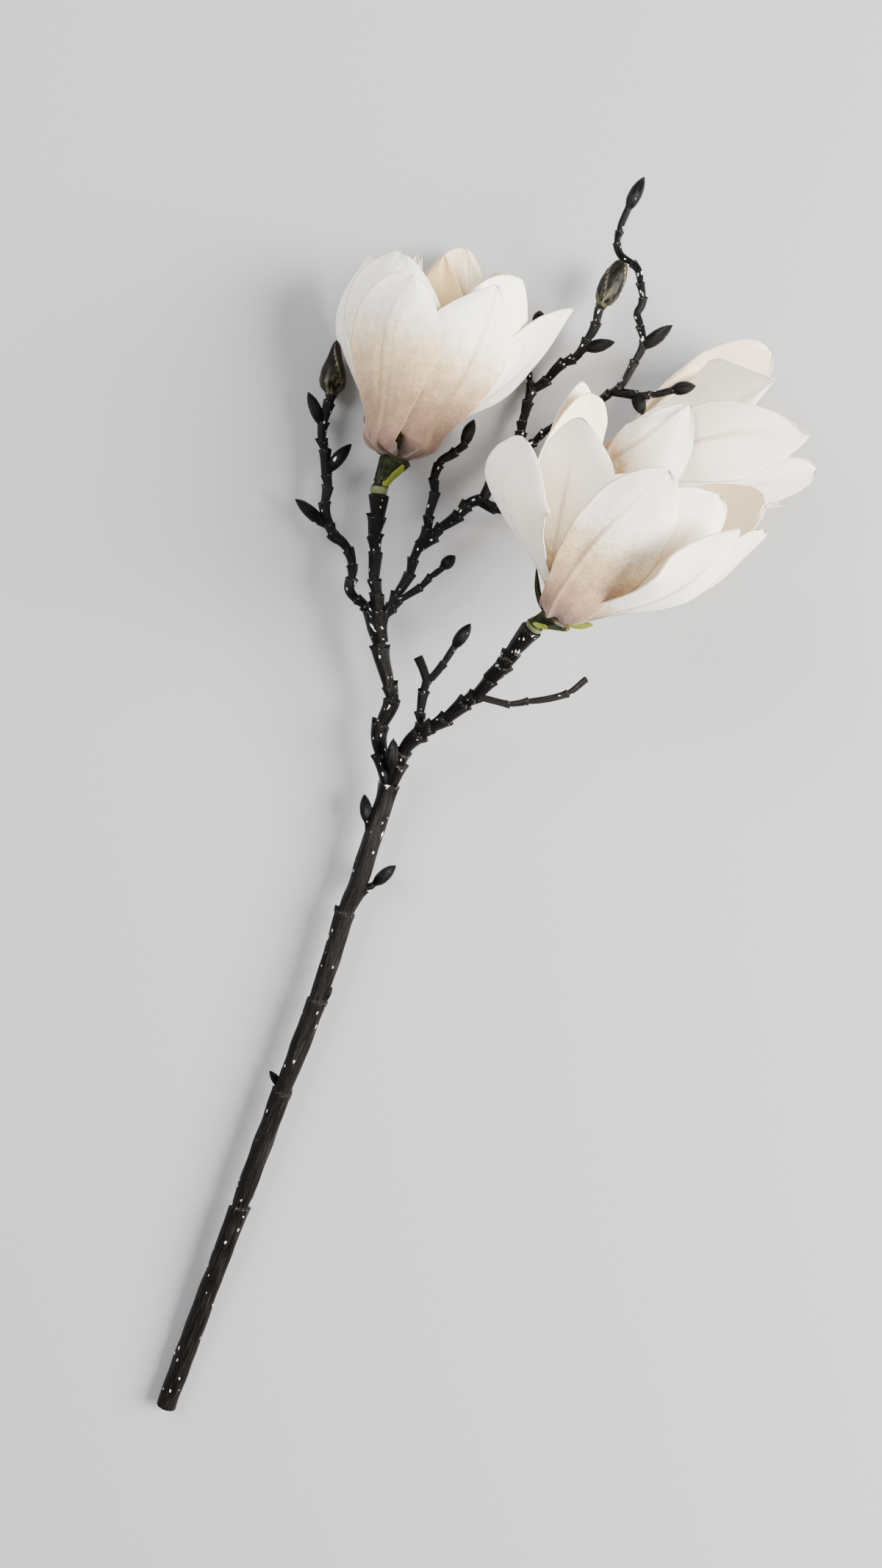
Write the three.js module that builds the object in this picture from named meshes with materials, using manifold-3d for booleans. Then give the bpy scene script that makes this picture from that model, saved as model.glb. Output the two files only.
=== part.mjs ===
import * as THREE from 'three';
import Module from 'manifold-3d';

// A cut magnolia branch lying on its back: a dark, knobbly stem that forks into two limbs, three
// cream blooms on green stalks, two olive flower buds and many small dark buds.
// Millimetres. X runs to the right, Y from the cut end towards the top, Z up from the surface that
// the branch lies on. Z = 0 is that surface, and X = Y = 0 is the middle of the whole outline.

const wasm = await Module();
wasm.setup();

// Driving sizes
const stemRadius = 4.0;
const limbRadius = 3.5;
const twigRadius = 2.1;
const shootRadius = 1.7;
const tipShootRadius = 1.4;
const socketRadius = 4.3;
const rimSwell = 1.16;           // the rim at a joint stands this much wider than the wood beside it
const stepShare = 0.92;          // and the next length starts this much narrower inside it
const petalThickness = 0.9;
const bedHeight = 0.9;           // how far above the surface the middle of a resting petal is pressed
const seatGap = 0.3;             // clearance left between one piece and the next
const petalRows = 7;
const petalColumns = 4;
const smallBudRadius = 2.2;
const stemSides = 8;
const twigSides = 6;

// ---------------------------------------------------------------- solids

function solidFrom(positions, triangles) {
  const mesh = new wasm.Mesh({
    numProp: 3,
    vertProperties: new Float32Array(positions),
    triVerts: new Uint32Array(triangles),
  });
  return new wasm.Manifold(mesh);
}

function unite(solids) {
  return solids.reduce((sum, solid) => sum.add(solid));
}

function geometryFrom(solid) {
  const mesh = solid.getMesh();
  const geometry = new THREE.BufferGeometry();
  geometry.setAttribute('position', new THREE.BufferAttribute(new Float32Array(mesh.vertProperties), 3));
  geometry.setIndex(new THREE.BufferAttribute(new Uint32Array(mesh.triVerts), 1));
  geometry.computeVertexNormals();
  return geometry;
}

// A closed skin over rings of points, with a fan over each end.
function loft(rings) {
  const sides = rings[0].length;
  const positions = [];
  const triangles = [];
  for (const ring of rings) {
    for (const point of ring) {
      positions.push(point.x, point.y, point.z);
    }
  }
  const middleOf = (ring) => {
    const middle = new THREE.Vector3();
    ring.forEach((point) => middle.addScaledVector(point, 1 / sides));
    positions.push(middle.x, middle.y, middle.z);
    return positions.length / 3 - 1;
  };
  const start = middleOf(rings[0]);
  const end = middleOf(rings[rings.length - 1]);
  const last = (rings.length - 1) * sides;
  for (let side = 0; side < sides; side += 1) {
    const next = (side + 1) % sides;
    triangles.push(start, next, side);
    triangles.push(end, last + side, last + next);
    for (let row = 0; row < rings.length - 1; row += 1) {
      const a = row * sides + side;
      const b = row * sides + next;
      triangles.push(a, b, b + sides, a, b + sides, a + sides);
    }
  }
  return solidFrom(positions, triangles);
}

// A round bar that follows a smooth route, with its radius given at each station.
// A station is [fraction of the length, radius].
function bar(route, stations, sides) {
  const points = route.map(([x, y, z]) => new THREE.Vector3(x, y, z));
  const curve = new THREE.CatmullRomCurve3(points, false, 'centripetal');
  const up = new THREE.Vector3(0, 0, 1);
  const rings = stations.map(([along, radius]) => {
    const centre = curve.getPointAt(along);
    const tangent = curve.getTangentAt(along);
    const right = new THREE.Vector3().crossVectors(tangent, up).normalize();
    const under = new THREE.Vector3().crossVectors(tangent, right);
    const ring = [];
    for (let side = 0; side < sides; side += 1) {
      const angle = (2 * Math.PI * (side + 0.5)) / sides;
      ring.push(centre.clone()
        .addScaledVector(right, radius * Math.cos(angle))
        .addScaledVector(under, radius * Math.sin(angle)));
    }
    return ring;
  });
  return loft(rings);
}

function lengthOf(route) {
  const points = route.map(([x, y, z]) => new THREE.Vector3(x, y, z));
  return new THREE.CatmullRomCurve3(points, false, 'centripetal').getLength();
}

// Distances along a route at which its wood has joints, a little unevenly spaced.
function unevenJoints(route, spacing) {
  const length = lengthOf(route);
  const count = Math.max(1, Math.round(length / spacing));
  const joints = [];
  for (let joint = 1; joint < count; joint += 1) {
    joints.push((length * (joint + 0.22 * Math.sin(2.4 * joint))) / count);
  }
  return joints;
}

// Wood that narrows from one radius to another. It swells to a rim at every joint, and the next
// length stands a little narrower inside that rim.
const rimLength = 2.3;
const stepLength = 0.6;

function wood(route, startRadius, endRadius, joints, sides) {
  const length = lengthOf(route);
  const stations = [[0, startRadius]];
  for (const joint of joints) {
    const radius = THREE.MathUtils.lerp(startRadius, endRadius, joint / length);
    stations.push([(joint - rimLength) / length, radius]);
    stations.push([joint / length, radius * rimSwell]);
    stations.push([(joint + stepLength) / length, radius * stepShare]);
  }
  stations.push([1, endRadius]);
  return bar(route, stations, sides);
}

function evenWood(route, startRadius, endRadius, spacing, sides) {
  return wood(route, startRadius, endRadius, unevenJoints(route, spacing), sides);
}

function tooth(foot, tip) {
  return bar([foot, tip], [[0, 1.5], [0.5, 1.1], [1, 0.3]], 4);
}

// Two pointed teeth at each joint, one on either side, that lean out over the rim.
function teethAt(route, joints, radius) {
  const points = route.map(([x, y, z]) => new THREE.Vector3(x, y, z));
  const curve = new THREE.CatmullRomCurve3(points, false, 'centripetal');
  const length = curve.getLength();
  const teeth = [];
  for (const joint of joints) {
    const centre = curve.getPointAt(joint / length);
    const tangent = curve.getTangentAt(joint / length);
    const right = new THREE.Vector3().crossVectors(tangent, new THREE.Vector3(0, 0, 1)).normalize();
    for (const side of [-1, 1]) {
      const foot = centre.clone().addScaledVector(right, side * radius * 0.4).addScaledVector(tangent, -3);
      const tip = centre.clone().addScaledVector(right, side * radius * 1.4).addScaledVector(tangent, 2);
      teeth.push(tooth(foot.toArray(), tip.toArray()));
    }
  }
  return teeth;
}

// A pointed bud: a narrow foot, a full belly and a sharp tip.
function smallBud(foot, tip) {
  const shape = [[0, 0.5], [0.16, 0.72], [0.45, 1], [0.74, 0.7], [1, 0.1]];
  const stations = shape.map(([along, share]) => [along, smallBudRadius * share]);
  return bar([foot, tip], stations, twigSides);
}

// ---------------------------------------------------------------- wood

const cutEnd = [-123.5, -239, 3.7];
const fork = [-33.5, 11, 13];
const crotch = [-38, 76, 20];
const cutFlat = [-121, -232, 3.7];

const stemRoute = [
  cutEnd, cutFlat, [-94.5, -160, 7.5], [-63.2, -77, 9], [-56.2, -57, 9.5], [-50.5, -39, 10],
  [-45.6, -28, 10.5], [-42.5, -18, 11], [-35.5, 4, 12], fork,
];
const stemJoints = [87, 136, 175, 212];
const forkCollarRoute = [[-34.6, 7, 12.4], [-33.4, 11.5, 13.2], [-33.2, 13.5, 13.8]];
const leftLimbRoute = [fork, [-37.5, 29, 15], [-32.5, 45, 17], [-37, 63, 19], crotch];
const rightLimbRoute = [fork, [-24.8, 27.8, 20], [-13.3, 35, 28], [4.6, 48.6, 41], [15, 60, 50]];
const firstSocketRoute = [crotch, [-38.8, 96.5, 22], [-38.4, 110, 24], [-37.2, 123, 25]];
const secondSocketRoute = [[12, 58, 48], [20.5, 68, 55]];

const farLeftTwigRoute = [
  [-38, 74, 20], [-44, 82, 19], [-49, 87.5, 18], [-47.5, 97, 17], [-51.6, 105.8, 16], [-55, 109.3, 15],
  [-58.5, 117.5, 14], [-58, 131, 13], [-59.1, 141.7, 12], [-60.2, 154, 10.5], [-56.7, 164, 9.2],
];
const middleTwigRoute = [[-37.5, 74, 20], [-27.5, 89.5, 18], [-21, 106, 16]];
const middleShootRoute = [
  [-21.5, 104, 16], [-19, 110.5, 16], [-16, 124.5, 16], [-14, 137.8, 14], [-7.9, 141.7, 12],
  [-3.3, 145.9, 11],
];
const crossTwigRoute = [[-22, 104.5, 16], [-9.5, 114.4, 15], [-1, 122, 14], [3, 123.5, 14]];
const thirdSocketRoute = [[1, 123.5, 14], [11, 119.5, 14], [24.5, 121, 16], [36, 125.5, 18.5]];
const risingShootRoute = [[2.5, 121.5, 14], [7, 130.5, 13], [14.5, 139.5, 13], [18, 146.5, 13]];
const budShootRoute = [
  [16.5, 143.2, 12], [20.4, 158, 7], [22.2, 166, 4.8], [28.3, 172.4, 4.8], [33, 176.6, 7],
  [42.4, 182.6, 11.5], [46.8, 189.6, 13], [48.8, 196.5, 13.9], [49.7, 199.1, 14],
];
const hiddenShootRoute = [[21.8, 164, 5], [22.6, 175, 3.6], [22.8, 183.4, 4.4], [24.5, 190.5, 6], [26, 198, 6.5]];
const tallShootRoute = [
  [15.5, 141.5, 13], [23.8, 146.4, 15], [30.2, 150, 20], [38.5, 153, 32], [48, 156, 42], [53, 159, 45],
  [56, 162.5, 46], [62, 174, 46], [62, 183, 45], [60.5, 187, 45], [62, 191, 45], [61, 203.5, 44],
  [54.5, 210, 43], [53.5, 215, 43], [54, 220, 42], [57.5, 228, 42],
];
const sideShootRoute = [[51.5, 158, 45], [58.5, 157, 46], [65, 156, 46], [74, 158, 47]];
const crotchShootRoute = [[-38, 75, 20], [-27.2, 83.8, 20], [-15.6, 92.6, 20], [-12, 96, 20]];
const limbTwigRoute = [[-24.5, 28.5, 21], [-21.5, 33, 22], [-20, 47.5, 22], [-18, 51.5, 22]];
const limbShootRoute = [[-19.5, 49.5, 22], [-15.5, 54, 22], [-7.5, 65, 22]];
const stubRoute = [[-18.2, 50, 22], [-20, 56, 22], [-22, 60.5, 22]];
const budStalkRoute = [[-49, -33.5, 9], [-41, -29, 9]];
const bareShootRoute = [[-0.5, 44.6, 37], [16, 41.2, 34], [35, 45.4, 30], [43, 51.5, 28]];

// Small dark buds, each from its foot to its tip.
const smallBuds = [
  [[-41.2, -8.5, 10], [-43.5, 6.5, 11]],
  [[-42, -29.8, 9], [-31, -21.5, 9]],
  [[-32.5, 14, 14], [-31.5, 29.5, 16]],
  [[-58, 112.5, 14], [-70.5, 123.5, 14]],
  [[-59.7, 152.5, 10.8], [-65.9, 166.8, 10]],
  [[-58.5, 134, 13], [-48.5, 145.5, 13]],
  [[-4.4, 144.9, 11], [0.2, 156.3, 8.5]],
  [[25.7, 196.5, 6.6], [27, 204, 6]],
  [[43.2, 183.2, 12.3], [55.8, 186, 12.5]],
  [[57, 226.5, 42], [63.5, 239.5, 42]],
  [[61.5, 173.5, 46], [73.5, 182.5, 46]],
  [[72.5, 158, 47], [82, 159.5, 47]],
  [[59.5, 157.5, 46], [62.5, 149, 46]],
  [[-13, 95.1, 20], [-7.4, 100.2, 20]],
  [[-8.5, 63.5, 22], [-1.5, 73.5, 22]],
];

// Short pointed scales beside the ring scars of the main stem, each from its foot to its tip.
const scaleTeeth = [
  [[-92, -158, 6.5], [-87.5, -149.5, 7]],
  [[-76, -111, 7], [-81.5, -103.5, 7.5]],
  [[-77.5, -118, 7], [-72.5, -110.5, 7.5]],
  [[-61.7, -77, 8], [-56.4, -70, 8.5]],
  [[-52, -46, 9], [-55, -37, 9.5]],
];

function flare(route, from, to) {
  return bar(route, [[0, from], [0.55, from * 0.98], [0.8, from * 1.15], [0.94, to], [1, to]], 10);
}

function makeBranch() {
  const leftJoints = unevenJoints(leftLimbRoute, 13);
  const rightJoints = unevenJoints(rightLimbRoute, 12);
  const pieces = [
    wood(stemRoute, stemRadius, stemRadius, stemJoints, stemSides),
    bar(forkCollarRoute, [[0, 4.1], [0.5, 4.6], [1, 4.2]], stemSides),
    wood(leftLimbRoute, limbRadius, limbRadius * 0.94, leftJoints, stemSides),
    wood(rightLimbRoute, limbRadius, limbRadius * 0.72, rightJoints, stemSides),
    flare(firstSocketRoute, twigRadius * 1.15, socketRadius),
    flare(secondSocketRoute, limbRadius * 0.76, socketRadius),
    flare(thirdSocketRoute, twigRadius, socketRadius),
    evenWood(farLeftTwigRoute, twigRadius, twigRadius, 8.5, twigSides),
    evenWood(middleTwigRoute, twigRadius, twigRadius, 8.5, twigSides),
    evenWood(middleShootRoute, shootRadius, tipShootRadius, 8, twigSides),
    evenWood(crossTwigRoute, twigRadius, twigRadius, 8.5, twigSides),
    evenWood(risingShootRoute, twigRadius, shootRadius, 8.5, twigSides),
    evenWood(budShootRoute, shootRadius, shootRadius, 8.5, twigSides),
    evenWood(hiddenShootRoute, tipShootRadius, tipShootRadius * 0.8, 9, twigSides),
    evenWood(tallShootRoute, shootRadius, tipShootRadius, 8, twigSides),
    evenWood(sideShootRoute, shootRadius, tipShootRadius, 7, twigSides),
    evenWood(crotchShootRoute, shootRadius, tipShootRadius, 8, twigSides),
    evenWood(limbTwigRoute, twigRadius, twigRadius * 0.95, 9, twigSides),
    evenWood(limbShootRoute, shootRadius, tipShootRadius, 8, twigSides),
    evenWood(stubRoute, shootRadius, twigRadius * 0.9, 9, twigSides),
    bar(budStalkRoute, [[0, 1.6], [1, 1.2]], twigSides),
    evenWood(bareShootRoute, tipShootRadius, tipShootRadius * 0.9, 11, twigSides),
    ...teethAt(leftLimbRoute, leftJoints, limbRadius),
    ...teethAt(rightLimbRoute, rightJoints, limbRadius * 0.88),
  ];
  for (const [foot, tip] of smallBuds) {
    pieces.push(smallBud(foot, tip));
  }
  for (const [foot, tip] of scaleTeeth) {
    pieces.push(tooth(foot, tip));
  }
  return unite(pieces);
}

// ---------------------------------------------------------------- blooms

// Each bloom has a foot, a heading of its axis over the surface (from +X towards +Y) and a lift.
// Each petal is set out in its bloom's own frame, with angles in degrees round the bloom's axis
// (0 faces up from the surface, 90 faces the right hand side of the axis). Belly is its middle and
// tip its point, each as [turn, out from the axis, up the axis]. Hem is where it bulges beside the
// foot and neck where it draws in above that, each as [out, up]. Lean makes its right half wider
// than its left, and widest gives the share of its length where each half, left and right, is widest.
const petalDefaults = {
  hem: [11, 5],
  neck: null,
  width: 38,
  lean: 0,
  cup: 28,
  hemCup: 60,
  tipCup: 25,
  roll: 0,
  point: 0.5,
  sharp: 2.4,
  base: 0.38,
  widest: [0.62, 0.62],
  waist: 1.5,
  claw: 0.5,
};
const rootRadius = 4;

const blooms = [
  {
    name: 'bloom_1',
    foot: [-30, 137.5, 24],
    heading: 76,
    lift: 2,
    petals: [
      {
        belly: [-33, 26, 45], tip: [-23, 24, 64], hem: [16, 2], neck: [17, 12], width: 39, lean: 0.15,
        cup: 30, base: 0.32, widest: [0.62, 0.65], sharp: 3, point: 0.7,
      },
      {
        belly: [49, 28, 45], tip: [42, 33.5, 67], hem: [14, 4], neck: [15.5, 12], width: 40,
        lean: -0.3, cup: 27, roll: -22, base: 0.4, widest: [0.57, 0.6], sharp: 2.2, point: 1,
      },
      {
        belly: [-56, 25, 50], tip: [-45, 22, 73], hem: [12.5, 4.5], neck: [12, 15], width: 49,
        lean: 0.35, cup: 32, tipCup: 30, roll: 20, base: 0.2, widest: [0.72, 0.65], point: 0.75,
      },
      {
        belly: [-103, 34, 49], tip: [-77, 27, 71], hem: [15, 5], neck: [16.5, 15], width: 33, cup: 30,
        roll: 27, base: 0.33, widest: [0.58, 0.62],
      },
      {
        belly: [71, 32, 50], tip: [70, 31, 76], hem: [12, 6], neck: [15, 14.5], width: 35,
        lean: -0.35, cup: 27, roll: -29, widest: [0.7, 0.65], sharp: 2.7, point: 0.65,
      },
      {
        belly: [99, 39, 46], tip: [100, 53, 75], hem: [12, 6.5], neck: [15, 16], width: 32,
        lean: -0.2, cup: 31, roll: -28, widest: [0.6, 0.6], sharp: 2.1, point: 0.8,
      },
      {
        belly: [162, 17, 46], tip: [189, 14, 85], hem: [10, 6], width: 29, lean: 0.1, cup: 30,
        roll: 3, widest: [0.6, 0.67], sharp: 1.5, point: 0.95,
      },
      {
        belly: [141, 25, 43], tip: [167, 19, 91], hem: [11, 6], width: 33, lean: 0.35, cup: 36,
        roll: 6, widest: [0.57, 0.65], sharp: 2.1, point: 0.6,
      },
      { belly: [115, 25, 46], tip: [121, 24, 83], hem: [11, 6], width: 34, lean: -0.1, cup: 34 },
      { belly: [-144, 20, 42], tip: [-141, 19, 84], hem: [11, 4], width: 12, cup: 38 },
      { belly: [-178, 26.5, 42], tip: [-175, 19, 81], hem: [8, 6], cup: 38, point: 0.6 },
    ],
  },
  {
    name: 'bloom_2',
    foot: [30, 73.5, 58],
    heading: 55,
    lift: 20,
    petals: [
      {
        belly: [-8, 22, 28], tip: [4, 35, 68], hem: [14, 1], width: 36, lean: 0.3, cup: 14, roll: 24,
        base: 0.45, widest: [0.66, 0.48], sharp: 3, point: 0.8,
      },
      {
        belly: [-58, 47, 30], tip: [-55, 53, 49], hem: [9, 6], width: 46, lean: 0.1, cup: 14, roll: 8,
        base: 0.2, widest: [0.67, 0.8], sharp: 1.4, point: 0.7,
      },
      {
        belly: [-56, 24, 34], tip: [-59, 37, 64], hem: [8.5, 5], width: 40, lean: 0.15, cup: 24,
        roll: 27, widest: [0.66, 0.53], sharp: 2, point: 0.75,
      },
      {
        belly: [-112, 33, 44], tip: [-106, 37, 70], hem: [8, 6], width: 36, cup: 27, roll: -16,
        widest: [0.6, 0.63], sharp: 2.2, point: 0.4,
      },
      {
        belly: [-119, 38, 42], tip: [-112, 44, 71], hem: [9, 6], width: 32, lean: -0.1, cup: 38,
        roll: -6, widest: [0.62, 0.64], point: 0.7,
      },
      {
        belly: [62, 25, 48], tip: [53, 27, 69], hem: [9, 5], width: 39, lean: -0.35, cup: 30,
        roll: -20, widest: [0.7, 0.64], point: 0.6,
      },
      {
        belly: [65, 32, 32], tip: [58, 40, 64], hem: [9, 5], width: 34, cup: 14, roll: -8, base: 0.45,
        widest: [0.7, 0.52], sharp: 1.7, point: 0.8,
      },
      {
        belly: [139, 29, 40], tip: [114, 41, 74], hem: [9, 5], width: 45, lean: -0.2, cup: 38,
        roll: 11, widest: [0.67, 0.58], sharp: 2.2, point: 0.6,
      },
      { belly: [103, 39, 36], tip: [97, 43, 66], hem: [10, 4], width: 32, lean: 0.1, cup: 38, roll: -30 },
      { belly: [178, 20, 34], tip: [178, 19, 56], hem: [9, 5], cup: 38 },
    ],
  },
  {
    name: 'bloom_3',
    foot: [47.5, 130, 21.5],
    heading: 18,
    lift: 5,
    petals: [
      {
        belly: [-11, 24, 19], tip: [-25, 26, 40], hem: [12.5, 5], width: 33, lean: 0.35, cup: 34,
        base: 0.33, widest: [0.47, 0.52], sharp: 1.4, point: 0.7,
      },
      {
        belly: [12, 24, 44], tip: [29, 30, 77], hem: [9, 5], width: 32, cup: 29, roll: -10,
        base: 0.43, widest: [0.56, 0.67], sharp: 1.6, point: 0.8,
      },
      {
        belly: [-64, 9, 45], tip: [-28, 22, 73], hem: [10.5, 5], width: 32, lean: -0.3, cup: 30,
        roll: 38, base: 0.34, widest: [0.72, 0.5], sharp: 1.4, point: 1,
      },
      {
        belly: [-132, 29, 42], tip: [-110, 28, 81], hem: [9, 7], width: 40, lean: 0.1, cup: 42,
        roll: -12, base: 0.27, widest: [0.63, 0.78], point: 0.55,
      },
      {
        belly: [67, 25, 42], tip: [58, 30, 78], hem: [11, 4], width: 28, cup: 34, roll: -6,
        base: 0.34, widest: [0.61, 0.78], sharp: 1.7,
      },
      {
        belly: [117, 28, 38], tip: [106, 33, 66], hem: [12, 4], width: 34, lean: 0.1, cup: 38,
        roll: -14,
      },
      { belly: [178, 26.5, 40], tip: [172, 18, 76], hem: [9, 6], cup: 38 },
      { belly: [-146, 24, 40], tip: [-140, 24, 72], hem: [11, 4], width: 36, cup: 38 },
    ],
  },
];

const radians = THREE.MathUtils.degToRad;

// Right, front and axis of a bloom, as unit vectors.
function bloomFrame({ heading, lift }) {
  const axis = new THREE.Vector3(
    Math.cos(radians(heading)) * Math.cos(radians(lift)),
    Math.sin(radians(heading)) * Math.cos(radians(lift)),
    Math.sin(radians(lift)),
  );
  const front = new THREE.Vector3(0, 0, 1).addScaledVector(axis, -axis.z).normalize();
  const right = new THREE.Vector3().crossVectors(axis, front);
  return { right, front, axis };
}

function place(bloom, frame, point) {
  return new THREE.Vector3(...bloom.foot)
    .addScaledVector(frame.right, point.x)
    .addScaledVector(frame.front, point.y)
    .addScaledVector(frame.axis, point.z);
}

function around(turn, out, up) {
  return new THREE.Vector3(out * Math.sin(radians(turn)), out * Math.cos(radians(turn)), up);
}

function smooth(value) {
  return THREE.MathUtils.smoothstep(value, 0, 1);
}

// Width of one half of a petal along its length, as a share of its greatest.
function outline(petal, along, widest) {
  const claw = petal.claw + (1 - petal.claw) * smooth(along / 0.12);
  if (along < widest) {
    return claw * (petal.base + (1 - petal.base) * smooth(along / widest) ** petal.waist);
  }
  const past = Math.min(1, (along - widest) / (1 - widest));
  return claw * (1 - past ** petal.sharp) ** petal.point;
}

// The middle surface of a petal as rows of points, in its bloom's frame.
function petalSheet(petal) {
  const [turn, out, up] = petal.belly;
  const [tipTurn, tipOut, tipUp] = petal.tip;
  const stops = [around(turn, rootRadius, 0), around(turn, ...petal.hem)];
  if (petal.neck) {
    stops.push(around(turn, ...petal.neck));
  }
  stops.push(around(turn, out, up), around(tipTurn, tipOut, tipUp));
  const spine = new THREE.CatmullRomCurve3(stops, false, 'centripetal');
  const rows = [];
  for (let row = 0; row <= petalRows; row += 1) {
    const along = row / petalRows;
    const centre = spine.getPointAt(along);
    const tangent = spine.getTangentAt(along);
    const facing = radians(turn + (tipTurn - turn) * smooth((along - 0.35) / 0.65));
    const outward = new THREE.Vector3(Math.sin(facing), Math.cos(facing), 0);
    const flat = new THREE.Vector3(Math.cos(facing), -Math.sin(facing), 0);
    const across = flat.addScaledVector(tangent, -flat.dot(tangent)).normalize();
    const inward = new THREE.Vector3().crossVectors(across, tangent);
    if (inward.dot(outward) > 0.5 * inward.z) {
      inward.negate();
    }
    const roll = radians(petal.roll) * smooth(along / 0.4);
    const rolledAcross = across.clone().multiplyScalar(Math.cos(roll)).addScaledVector(inward, Math.sin(roll));
    const rolledInward = inward.clone().multiplyScalar(Math.cos(roll)).addScaledVector(across, -Math.sin(roll));
    const halfOf = (share, widest) => Math.max(0.7, (petal.width / 2) * share * outline(petal, along, widest));
    const leftHalf = halfOf(1 - petal.lean, petal.widest[0]);
    const rightHalf = halfOf(1 + petal.lean, petal.widest[1]);
    const bend = radians(petal.cup + (petal.hemCup - petal.cup) * Math.exp(-along / 0.15)
      + (petal.tipCup - petal.cup) * smooth((along - 0.5) / 0.5));
    const points = [];
    for (let column = 0; column <= petalColumns; column += 1) {
      const side = (2 * column) / petalColumns - 1;
      const half = side < 0 ? leftHalf : rightHalf;
      points.push(centre.clone()
        .addScaledVector(rolledAcross, (half * Math.sin(bend * side)) / bend)
        .addScaledVector(rolledInward, (half * (1 - Math.cos(bend * side))) / bend));
    }
    rows.push(points);
  }
  return rows;
}

// A sheet of points given a thickness, with the same triangles on both faces.
function thicken(sheet, thickness) {
  const rows = sheet.length;
  const columns = sheet[0].length;
  const faces = [[], []];
  for (let row = 0; row < rows; row += 1) {
    for (let column = 0; column < columns; column += 1) {
      const before = sheet[Math.max(0, row - 1)][column];
      const after = sheet[Math.min(rows - 1, row + 1)][column];
      const left = sheet[row][Math.max(0, column - 1)];
      const right = sheet[row][Math.min(columns - 1, column + 1)];
      const normal = new THREE.Vector3()
        .crossVectors(after.clone().sub(before), right.clone().sub(left))
        .normalize();
      const point = sheet[row][column];
      for (const [face, sign] of [[0, -0.5], [1, 0.5]]) {
        const moved = point.clone().addScaledVector(normal, sign * thickness);
        if (moved.z < bedHeight * 0.4) {
          moved.z = 0;
        }
        faces[face].push(moved);
      }
    }
  }
  const positions = faces.flat().flatMap((point) => [point.x, point.y, point.z]);
  const back = rows * columns;
  const triangles = [];
  const wall = (a, b) => triangles.push(a, b, b + back, a, b + back, a + back);
  for (let row = 0; row < rows - 1; row += 1) {
    for (let column = 0; column < columns - 1; column += 1) {
      const a = row * columns + column;
      const b = a + 1;
      const c = a + columns;
      const d = c + 1;
      triangles.push(a, b, d, a, d, c);
      triangles.push(a + back, d + back, b + back, a + back, c + back, d + back);
    }
    const left = row * columns;
    const right = left + columns - 1;
    wall(left, left + columns);
    wall(right + columns, right);
  }
  for (let column = 0; column < columns - 1; column += 1) {
    wall(column + 1, column);
    const top = (rows - 1) * columns + column;
    wall(top, top + 1);
  }
  return solidFrom(positions, triangles);
}

// A shape turned round a bloom's axis. Each station is [radius, distance up the axis].
function turnedShape(bloom, frame, profile, sides) {
  const rings = profile.map(([radius, up]) => {
    const ring = [];
    for (let side = 0; side < sides; side += 1) {
      const angle = (2 * Math.PI * side) / sides;
      ring.push(place(bloom, frame, new THREE.Vector3(radius * Math.cos(angle), -radius * Math.sin(angle), up)));
    }
    return ring;
  });
  return loft(rings);
}

// The small disc that holds the roots of a bloom's petals together.
const discProfile = [[4.2, -1.4], [5.4, -0.6], [5.4, 0.6], [4.4, 1.2]];

function makePetals(bloom) {
  const frame = bloomFrame(bloom);
  const pieces = [turnedShape(bloom, frame, discProfile, 10)];
  for (const values of bloom.petals) {
    const sheet = petalSheet({ ...petalDefaults, ...values }).map((row) => row.map((point) => {
      const placed = place(bloom, frame, point);
      placed.z = Math.max(placed.z, bedHeight / 2);
      return placed;
    }));
    pieces.push(thicken(sheet, petalThickness));
  }
  return unite(pieces);
}

// A green stalk with a ring at its foot, which stands in the socket of a limb, and a cup under the
// petals whose rim swells over three bracts.
const cupRadius = 5.2;
const stalkRadius = 2.9;
const cupRings = [
  [0, 3.1], [0.1, 3.4], [0.2, 3.4], [0.25, stalkRadius], [0.45, 3.1], [0.62, 3.9], [0.8, 4.7],
  [0.92, cupRadius], [1, cupRadius * 0.9],
];
const bractDepth = 0.09;

function makeReceptacle(bloom, socket) {
  const { axis } = bloomFrame(bloom);
  const foot = new THREE.Vector3(...bloom.foot);
  const start = new THREE.Vector3(...socket[1]);
  const heading = start.clone().sub(new THREE.Vector3(...socket[0])).normalize();
  const top = foot.clone().addScaledVector(axis, discProfile[0][1] - seatGap * 1.5);
  const route = [
    start.clone().addScaledVector(heading, seatGap),
    start.clone().addScaledVector(heading, 2.5),
    top.clone().addScaledVector(axis, -1.5),
    top,
  ];
  const curve = new THREE.CatmullRomCurve3(route, false, 'centripetal');
  const up = new THREE.Vector3(0, 0, 1);
  const sides = 12;
  const rings = cupRings.map(([along, radius]) => {
    const centre = curve.getPointAt(along);
    const facing = heading.clone().lerp(axis, along).normalize();
    const right = new THREE.Vector3().crossVectors(facing, up).normalize();
    const under = new THREE.Vector3().crossVectors(facing, right);
    const ring = [];
    for (let side = 0; side < sides; side += 1) {
      const angle = (2 * Math.PI * side) / sides;
      const lobed = radius * (1 + bractDepth * smooth(along * 1.5 - 0.3) * Math.cos(3 * angle));
      ring.push(centre.clone()
        .addScaledVector(right, lobed * Math.cos(angle))
        .addScaledVector(under, lobed * Math.sin(angle)));
    }
    return ring;
  });
  return loft(rings);
}

// The heart of a bloom: a pointed cone of carpels with a ring of stamens round its foot.
const heartFoot = discProfile[discProfile.length - 1][1] + seatGap;
const conePoints = [[2.4, heartFoot], [2.9, 4], [2.7, 9], [1.5, 15.5], [0.4, 18]];
const stamenCount = 9;
const stamenHeight = 11;

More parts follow.
